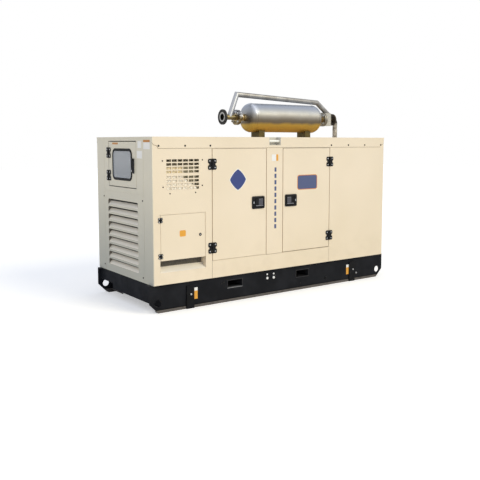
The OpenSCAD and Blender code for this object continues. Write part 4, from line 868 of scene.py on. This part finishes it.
def screws():
    """Dark screws of the roof, the grille and the end panels, the power door's lock, and skid plugs."""
    fasten("roof_screws", BLACKENED, DOME_SCREW, on(service, *ROOF_SCREWS) + on(back_side, *ROOF_SCREWS),
           13, 3.5, 18)
    fasten("grille_screws", BLACKENED, DOME_SCREW, on(service, *GRILLE_SCREWS), 9, 2.5, 13)
    fasten("end_panel_screws", BLACKENED, DOME_SCREW,
           on(intake_end, *INTAKE_SCREWS) + on(outlet_end, *OUTLET_SCREWS), 11, 3, 16)
    make("power_door_lock", NYLON, {service: [disc(*DOOR_LOCK, 14, 0, 2.4, 0.8)]}, "power_door")
    make("power_door_lock_bit", BRIGHT, {service: [plate(*DOOR_LOCK, 8, 8, 1, 2.0, 3.4, 0.5)]}, "power_door")
    make("skid_ports_lower", WHITE_CAP, {front_beam: [disc(u, v, 13, 0, 7, 2) for u, v in SKID_PORTS]})
    make("skid_ports_upper", WHITE_CAP, {front_beam: [disc(u, v + 38, 9, 0, 5, 2) for u, v in SKID_PORTS]})
    make("skid_drain_plug", NYLON, {front_beam: [disc(*DRAIN, 15, 0, 6, 2), disc(*DRAIN, 8, 5, 10, 1.5, 6)]})
    fasten("skid_bolts", BRIGHT, HEX_BOLT,
           on(front_beam, *PAD_BOLTS, (2513, 82)) + on(back_beam, *PAD_BOLTS), 13, 6, 18, 1.5)
    fasten("skid_dull_bolts", BLACKENED, HEX_BOLT, on(front_beam, *DULL_BOLTS), 10, 5, 14, 1.5)


# Behind the openings

# The deflector's outline, from the baffle's lower intake corner: it falls from left to right along the edge
# of the sunlit patch that it paints
DEFLECTOR_OUTLINE = ((3, 3), (352, 3), (348, 42), (318, 68), (250, 112), (203, 140), (203, 240), (3, 240))
DEFLECTOR_LEAN = 0.035
MESH_PITCH = 40.0


def inlet_deflector():
    """Cream deflector close behind the grille's lower left slots, shaped as painted light, the sunlit patch
    seen through them; the tray behind it is dark.
    """
    low_u, _, low_v, _ = extent("inlet_baffle")
    rings = [[(low_u + p, low_v + q, w - DEFLECTOR_LEAN * q) for p, q in DEFLECTOR_OUTLINE]
             for w in (-5.7, -4.5)]
    make("inlet_deflector", DEFLECTOR, {service: [sweep(rings)]})


def inlet_mesh():
    """Diamond wire mesh close behind the grille."""
    low_u, high_u, low_v, high_v = (k + e for k, e in zip(extent("inlet_baffle"), (20, -20, 20, -20)))
    wires, reach = [], high_v - low_v
    start = low_u - reach
    while start < high_u:
        a, b = max(start, low_u), min(start + reach, high_u)
        va, vb = low_v + (a - start), low_v + (b - start)
        if b - a > 4:
            wires.append(bead([(a, va), (b, vb)], 0.9, -1.7, 6))
            wires.append(bead([(a, low_v + high_v - va), (b, low_v + high_v - vb)], 0.9, -1.1, 6))
        start += MESH_PITCH
    make("inlet_mesh", MESH_WIRE, {service: wires})


def air_path_foam():
    """Dark foam boards that face the louvre blades at both ends."""
    shells = []
    for node, side in (("intake_blades", 1), ("outlet_blades", -1)):
        low, high = (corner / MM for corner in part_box(node))
        x = high.x + 12 if side > 0 else low.x - 12
        x_low, x_high = sorted((x, x + side * 12))
        shells.append(block((x_low, low.y + 4, low.z + 4), (x_high, high.y - 4, high.z - 4)))
    make("air_path_foam", FOAM, {in_frame: shells})


TRAY_DEPTH = 80.0
TRAY_RISE = 0.5
TRAY_CLEAR = 2.5
STRIPS = 12


def cable_entry():
    """Sloping tray of the cable recess, which sheds rain, in pale paint as painted light, and the slit rubber
    curtain behind it as painted shade.
    """
    low_u, high_u, low_v, high_v = extent("cable_recess")
    low_u, high_u, low_v = low_u + TRAY_CLEAR, high_u - TRAY_CLEAR, low_v + TRAY_CLEAR
    back_v = low_v + TRAY_RISE * TRAY_DEPTH
    profile = [(low_v, -TRAY_CLEAR), (back_v, -TRAY_DEPTH), (back_v + 2, -TRAY_DEPTH),
               (low_v + 2, -TRAY_CLEAR)]
    tray = sweep([[(u, v, w) for v, w in profile] for u in (low_u, high_u)])
    # Painted light: the tray takes the deflector's paint, paler than the canopy's
    make("cable_tray", DEFLECTOR, {service: [tray]})
    # Painted shade: the dark curtain stands at the back of the recess
    foot = back_v - 8
    width = (high_u - low_u - 2) / STRIPS
    strips = [plate(low_u + 1 + (k + 0.5) * width, (foot + high_v) / 2, width - 1.0,
                    high_v - foot, 1.0, -TRAY_DEPTH - 5, -TRAY_DEPTH - 1, 0.8) for k in range(STRIPS)]
    make("cable_curtain", CURTAIN, {service: strips})


DOOR_GAP = 8.0
# Widths of the sponge strips left of, right of, below and above each door; 0 leaves one out
SEAL_WIDTHS = {"left_door": (0, 0, 5, 5.4), "right_door": (0, 0, 2, 3.6), "power_door": (6, 4, 0, 6)}


def door_seals():
    """Cream sponge strips on the fixed side of the gaps round the doors."""
    bars = []
    for node, (on_left, on_right, below, over) in SEAL_WIDTHS.items():
        low_u, high_u, low_v, high_v = extent(node)
        left, right, bottom, top = low_u - DOOR_GAP, high_u + DOOR_GAP, low_v - DOOR_GAP, high_v + DOOR_GAP
        for width, low, high in ((on_left, (left + 0.2, low_v), (left + on_left, high_v)),
                                 (on_right, (right - on_right, low_v), (right - 0.2, high_v)),
                                 (below, (left, bottom + 0.2), (right, bottom + below)),
                                 (over, (left, top - over), (right, top - 0.2))):
            if width:
                bars.append(block((*low, -5), (*high, -1.6)))
    make("door_seals", IVORY, {service: bars})
    low_u, _, low_v, high_v = extent("control_door", intake_end)
    u = low_u - DOOR_GAP
    make("control_door_seal", IVORY, {intake_end: [block((u + 0.2, low_v, -5), (u + 5.4, high_v, -1.2))]})


# Depth of the roof's flange at its corner and radius of the two bends of its S
FLANGE_DROP = 100.0
FLANGE_BEND = 28.0


def roof_sealant():
    """A thin dark bead along the lower edge of the roof's flange, clear of the doors: painted shadow under
    the flange's edge.
    """
    level, r = extent("roof")[3] - FLANGE_DROP, FLANGE_BEND
    curl = [(r + r * math.cos(a), level + 2 * r + r * math.sin(a))
            for a in (math.radians(180 + 15 * k) for k in range(7))]
    curl += [(r + r * math.cos(a), level + r * math.sin(a))
             for a in (math.radians(90 - 15 * k) for k in range(1, 7))]
    length = (EAST - WEST) / MM
    far_curl = [(length - u, v) for u, v in reversed(curl)]
    level = curl[-1][1]
    (left_low, left_high), (right_low, right_high) = extent("left_door")[:2], extent("right_door")[:2]
    clear = DOOR_GAP + 2
    runs = [curl + [(left_low - clear, level)], [(left_high + clear, level), (right_low - clear, level)],
            [(right_high + clear, level)] + far_curl]
    beads = [bead([(u, v - 1.2) for u, v in run], 1.7, 1.0) for run in runs]
    make("roof_sealant", SEALANT, {service: beads, back_side: beads})


def lifting_gussets():
    """Gusset plates welded inside the beams, beside the lifting holes; their black also stands as painted
    shade for the shadowed floor seen through the holes.
    """
    web = BEAM_FACE / MM + 6
    shells = []
    for side in (-1, 1):
        for face in (-1, 1):
            x = side * (BEAM_END / MM - 152)
            x_low, x_high = sorted((x, x - side * 6))
            y_low, y_high = sorted((-face * web, face * (-web - 240)))
            shells.append(block((x_low, y_low, 8), (x_high, y_high, 240)))
    make("lifting_gussets", SKID, {in_frame: shells})


HOLE_RADIUS = 33.0
HOLE_FROM_END = 82.0
HOLE_HEIGHT = 88.0
# Each pair is a distance out from the hole's edge and a height over the beam
COLLAR_SECTION = ((0.4, 0.0), (0.4, 2.0), (1.6, 3.4), (5.0, 3.4), (7.0, 1.8), (7.5, 0.0))


def lifting_collars():
    """Rolled collars round the lifting holes, which keep a shackle off the sheet's edge."""
    far = (BEAM_END - WEST) / MM
    overhang = far - (EAST - WEST) / MM
    for name, face in (("front", front_beam), ("back", back_beam)):
        shells = [sweep([circle(u, HOLE_HEIGHT, HOLE_RADIUS + out, w, 40) for out, w in COLLAR_SECTION],
                        looped=True) for u in (HOLE_FROM_END - overhang, far - HOLE_FROM_END)]
        make("lifting_collars_" + name, SKID, {face: shells})


def lifting_bars():
    """The bar across each lifting pocket that a hook takes hold of, painted near-white as its highlight."""
    low_u, high_u = extent("lifting_pockets")[:2]
    v = extent("roof")[3] - 38
    bar = bead([(low_u + 1, v), (high_u - 1, v)], 11.0, -22.0, 20)
    make("lifting_bars", BAR_ENAMEL, {service: [bar], back_side: [bar]})


# Exhaust

TUBE_RADIUS = 27.0
TUBE_DOWN = 9.0
DISH = 68.0
SEAM_TURN = -0.5
BOLT_CIRCLE = 60.0


def bypass_tube():
    """The bypass tube as thick as the photograph shows it: three straight legs, mitred."""
    base = extent("roof")[3]
    axis = (AXIS_Z - FOOT) / MM
    far = extent("bypass_pipe")[1]
    route = [(1202.0, axis), (1295.0, base + 450 - TUBE_DOWN), (2403.0, base + 402 - TUBE_DOWN),
             (far - 21.5, axis + 72)]
    legs = [math.atan2(v1 - v0, u1 - u0) for (u0, v0), (u1, v1) in zip(route, route[1:])]
    cuts = [math.pi] + [(a + b) / 2 + math.pi / 2 for a, b in zip(legs, legs[1:])] + [0.0]
    rings = []
    for (u, v), cut, leg in zip(route, cuts, legs[:1] + legs):
        stretch = TUBE_RADIUS / math.sin(cut - leg)
        rings.append([(u + stretch * math.sin(a) * math.cos(cut),
                       v - axis + stretch * math.sin(a) * math.sin(cut), TUBE_RADIUS * math.cos(a))
                      for a in turns(32)])
    make("bypass_tube", TUBE, {exhaust: [sweep(rings)]}, smooth=30, instead_of="bypass_pipe")


def ring_weld(u, radius):
    """A weld bead round the silencer's shell."""
    size, rings = 2.6, []
    for a in turns(72):
        rings.append([(u + size * math.cos(b), (radius + size * math.sin(b)) * math.cos(a),
                       (radius + size * math.sin(b)) * math.sin(a)) for b in turns(8)])
    return sweep(rings, looped=True)


def exhaust_details():
    """Weld beads, flange bolts and studs."""
    low, high = extent("silencer_vessel")[:2]
    low, high, radius = low + DISH, high - DISH, (vessel_high.z - vessel_low.z) / MM / 2
    c, s = math.cos(SEAM_TURN), math.sin(SEAM_TURN)
    seam = sweep([[(u, (radius + 1.2 * math.cos(a)) * s + 2.6 * math.sin(a) * c,
                    -(radius + 1.2 * math.cos(a)) * c + 2.6 * math.sin(a) * s) for a in turns(8)]
                  for u in (low, high)])
    make("silencer_weld_beads", STAINLESS, {exhaust: [ring_weld(low, radius), ring_weld(high, radius), seam]},
         smooth=60)
    joint = extent("joint_flanges")[0]
    neck = extent("inlet_neck")[1]
    corners = [math.radians(45 + 90 * k) for k in range(4)]
    spots = [(BOLT_CIRCLE * math.cos(a), BOLT_CIRCLE * math.sin(a)) for a in corners]
    places = [(exhaust(u, v, w), Vector((way, 0, 0)))
              for u, way in ((joint, -1), (joint + 30, 1), (neck - 35, -1)) for v, w in spots]
    fasten("flange_bolts", BRIGHT, HEX_BOLT, places, 20, 12, 25, 2.5)
    make("flange_studs", FLANGE_STEEL,
         {exhaust: [bead([(joint - 20, v), (joint + 50, v)], 6, w, 12) for v, w in spots]})


# Interiors that show when a door is open

MOUNTING_DEPTH = -244.0
BOARD_DEPTH = -110.0
BAR_SPACING = 46


def terminal_board():
    """Breaker, copper bars and terminals in the power cabinet."""
    u, v, width, height = middle_and_size("power_cabinet")
    low_v, depth = extent("power_cabinet")[2], MOUNTING_DEPTH
    make("terminal_mounting_plate", PANEL_GREY,
         {service: [plate(u, v, width - 60, height - 60, 6, depth, depth + 8, 1)]})
    case = [plate(u, low_v + 270, 150, 170, 8, depth + 8, depth + 96, 3),
            plate(u, low_v + 270, 96, 84, 5, depth + 96, depth + 110, 2)]
    make("main_breaker", NYLON, {service: case}, bevel=0.6)
    make("breaker_lever", GREEN_PLASTIC,
         {service: [plate(u, low_v + 278, 24, 34, 5, depth + 110, depth + 132, 3)]})
    phases = [u + k * BAR_SPACING for k in (-1, 0, 1)]
    make("copper_bars", COPPER,
         {service: [plate(p, low_v + 118, 26, 120, 2, depth + 40, depth + 48, 0.6) for p in phases]})
    fasten("terminal_studs", BRIGHT, HEX_BOLT, on(service, *[(p, low_v + 80, depth + 48) for p in phases]),
           19, 10, 26, 2)


def control_panel():
    """Controller, buttons and stop button on the board behind the window."""
    u, v, width, height = middle_and_size("control_compartment", intake_end)
    d = BOARD_DEPTH
    for name, finish, shells in (
            ("control_board", PANEL_GREY, [plate(u, v, width - 20, height - 20, 4, d - 3, d, 1)]),
            ("controller_housing", NYLON, [plate(u, v + 40, 230, 160, 12, d, d + 14, 3)]),
            ("controller_screen", DARK_SCREEN, [plate(u + 20, v + 62, 120, 74, 4, d + 13, d + 15, 0.5)]),
            ("controller_keys", FILLER, [disc(u - 84 + 34 * k, v - 12, 11, d + 13, d + 18, 2)
                                         for k in range(6)]),
            ("stop_button", RED_PLASTIC, [disc(u - 150, v - 90, 12, d, d + 18, 1),
                                          disc(u - 150, v - 90, 22, d + 18, d + 32, 5)]),
            ("start_button", GREEN_PLASTIC, [disc(u - 70, v - 90, 13, d, d + 12, 2)])):
        make(name, finish, {intake_end: shells})


# Floor, light and camera

def bare_tree(owner):
    """The emptied node tree of a material or a world."""
    owner.use_nodes = True
    owner.node_tree.nodes.clear()
    return owner.node_tree


def floor():
    """White studio paper, a little lifted where the camera sees it."""
    bpy.ops.mesh.primitive_plane_add(size=60)
    sheet = bpy.context.object
    sheet.name = "studio_floor"
    paper = bpy.data.materials.new("white_studio_paper")
    tree = bare_tree(paper)
    seen = add(tree, "ShaderNodeLightPath").outputs["Is Camera Ray"]
    matt = add(tree, "ShaderNodeBsdfDiffuse", {"Color": "#f5f1ea"})
    lift = add(tree, "ShaderNodeEmission", {"Color": "#ffffff", "Strength": 0.42})
    lifted = add(tree, "ShaderNodeAddShader", {0: matt.outputs[0], 1: lift.outputs[0]})
    shown = add(tree, "ShaderNodeMixShader", {0: seen, 1: matt.outputs[0], 2: lifted.outputs[0]})
    add(tree, "ShaderNodeOutputMaterial", {"Surface": shown.outputs[0]})
    sheet.data.materials.append(paper)


def sky():
    """Soft bluish light all round, which the camera, reflections and the glass see as white."""
    world = bpy.data.worlds.new("studio")
    bpy.context.scene.world = world
    tree = bare_tree(world)
    rays = add(tree, "ShaderNodeLightPath").outputs
    either = add(tree, "ShaderNodeMath", {0: rays["Is Camera Ray"], 1: rays["Is Glossy Ray"]},
                 operation="MAXIMUM")
    any_of = add(tree, "ShaderNodeMath", {0: either.outputs[0], 1: rays["Is Transmission Ray"]},
                 operation="MAXIMUM")
    soft = add(tree, "ShaderNodeBackground", {"Color": "#dce8ff", "Strength": 0.65})
    white = add(tree, "ShaderNodeBackground", {"Color": "#ffffff", "Strength": 1.0})
    mixed = add(tree, "ShaderNodeMixShader", {0: any_of.outputs[0], 1: soft.outputs[0], 2: white.outputs[0]})
    add(tree, "ShaderNodeOutputWorld", {"Surface": mixed.outputs[0]})


def hold(name, data, place, turn):
    """Puts a light or the camera into the scene."""
    holder = bpy.data.objects.new(name, data)
    holder.location = place
    holder.rotation_euler = turn
    bpy.context.scene.collection.objects.link(holder)
    return holder


def lights_and_camera():
    """A warm broad key, a faint cool fill, a panel towards the near corner, and the photograph's camera."""
    for name, strength, turn, angle, colour in (
            ("key_light", 1.57, (58, 0, 24), 30, "#fff6d9"),
            ("fill_light", 0.1, (62, 0, -78), 60, "#f2f5ff")):
        lamp = bpy.data.lights.new(name, "SUN")
        lamp.energy = strength
        lamp.angle = math.radians(angle)
        lamp.color = srgb(colour)[:3]
        hold(name, lamp, (0, 0, 0), [math.radians(a) for a in turn])
    panel = bpy.data.lights.new("corner_panel_light", "AREA")
    panel.energy = 9.0
    panel.size = 1.6
    panel.color = srgb("#fff3e6")[:3]
    place = Vector((-4.2, -3.2, 2.7))
    aim = Vector((-1.4, -0.5, 1.1)) - place
    hold("corner_panel_light", panel, place, aim.to_track_quat("-Z", "Y").to_euler())
    eye = bpy.data.cameras.new("photo_camera")
    eye.lens = LENS
    eye.sensor_width = SENSOR
    eye.shift_y = HORIZON_SHIFT
    camera = hold("photo_camera", eye, CAMERA_PLACE, [math.radians(a) for a in CAMERA_TURN])
    bpy.context.scene.camera = camera
    bpy.context.scene.view_settings.view_transform = "Standard"


floor()
sky()
lights_and_camera()
dress_nodes()
latches()
hinges()
control_door()
labels()
screws()
exhaust_details()
inlet_deflector()
inlet_mesh()
air_path_foam()
cable_entry()
door_seals()
roof_sealant()
lifting_gussets()
lifting_collars()
lifting_bars()
bypass_tube()
terminal_board()
control_panel()
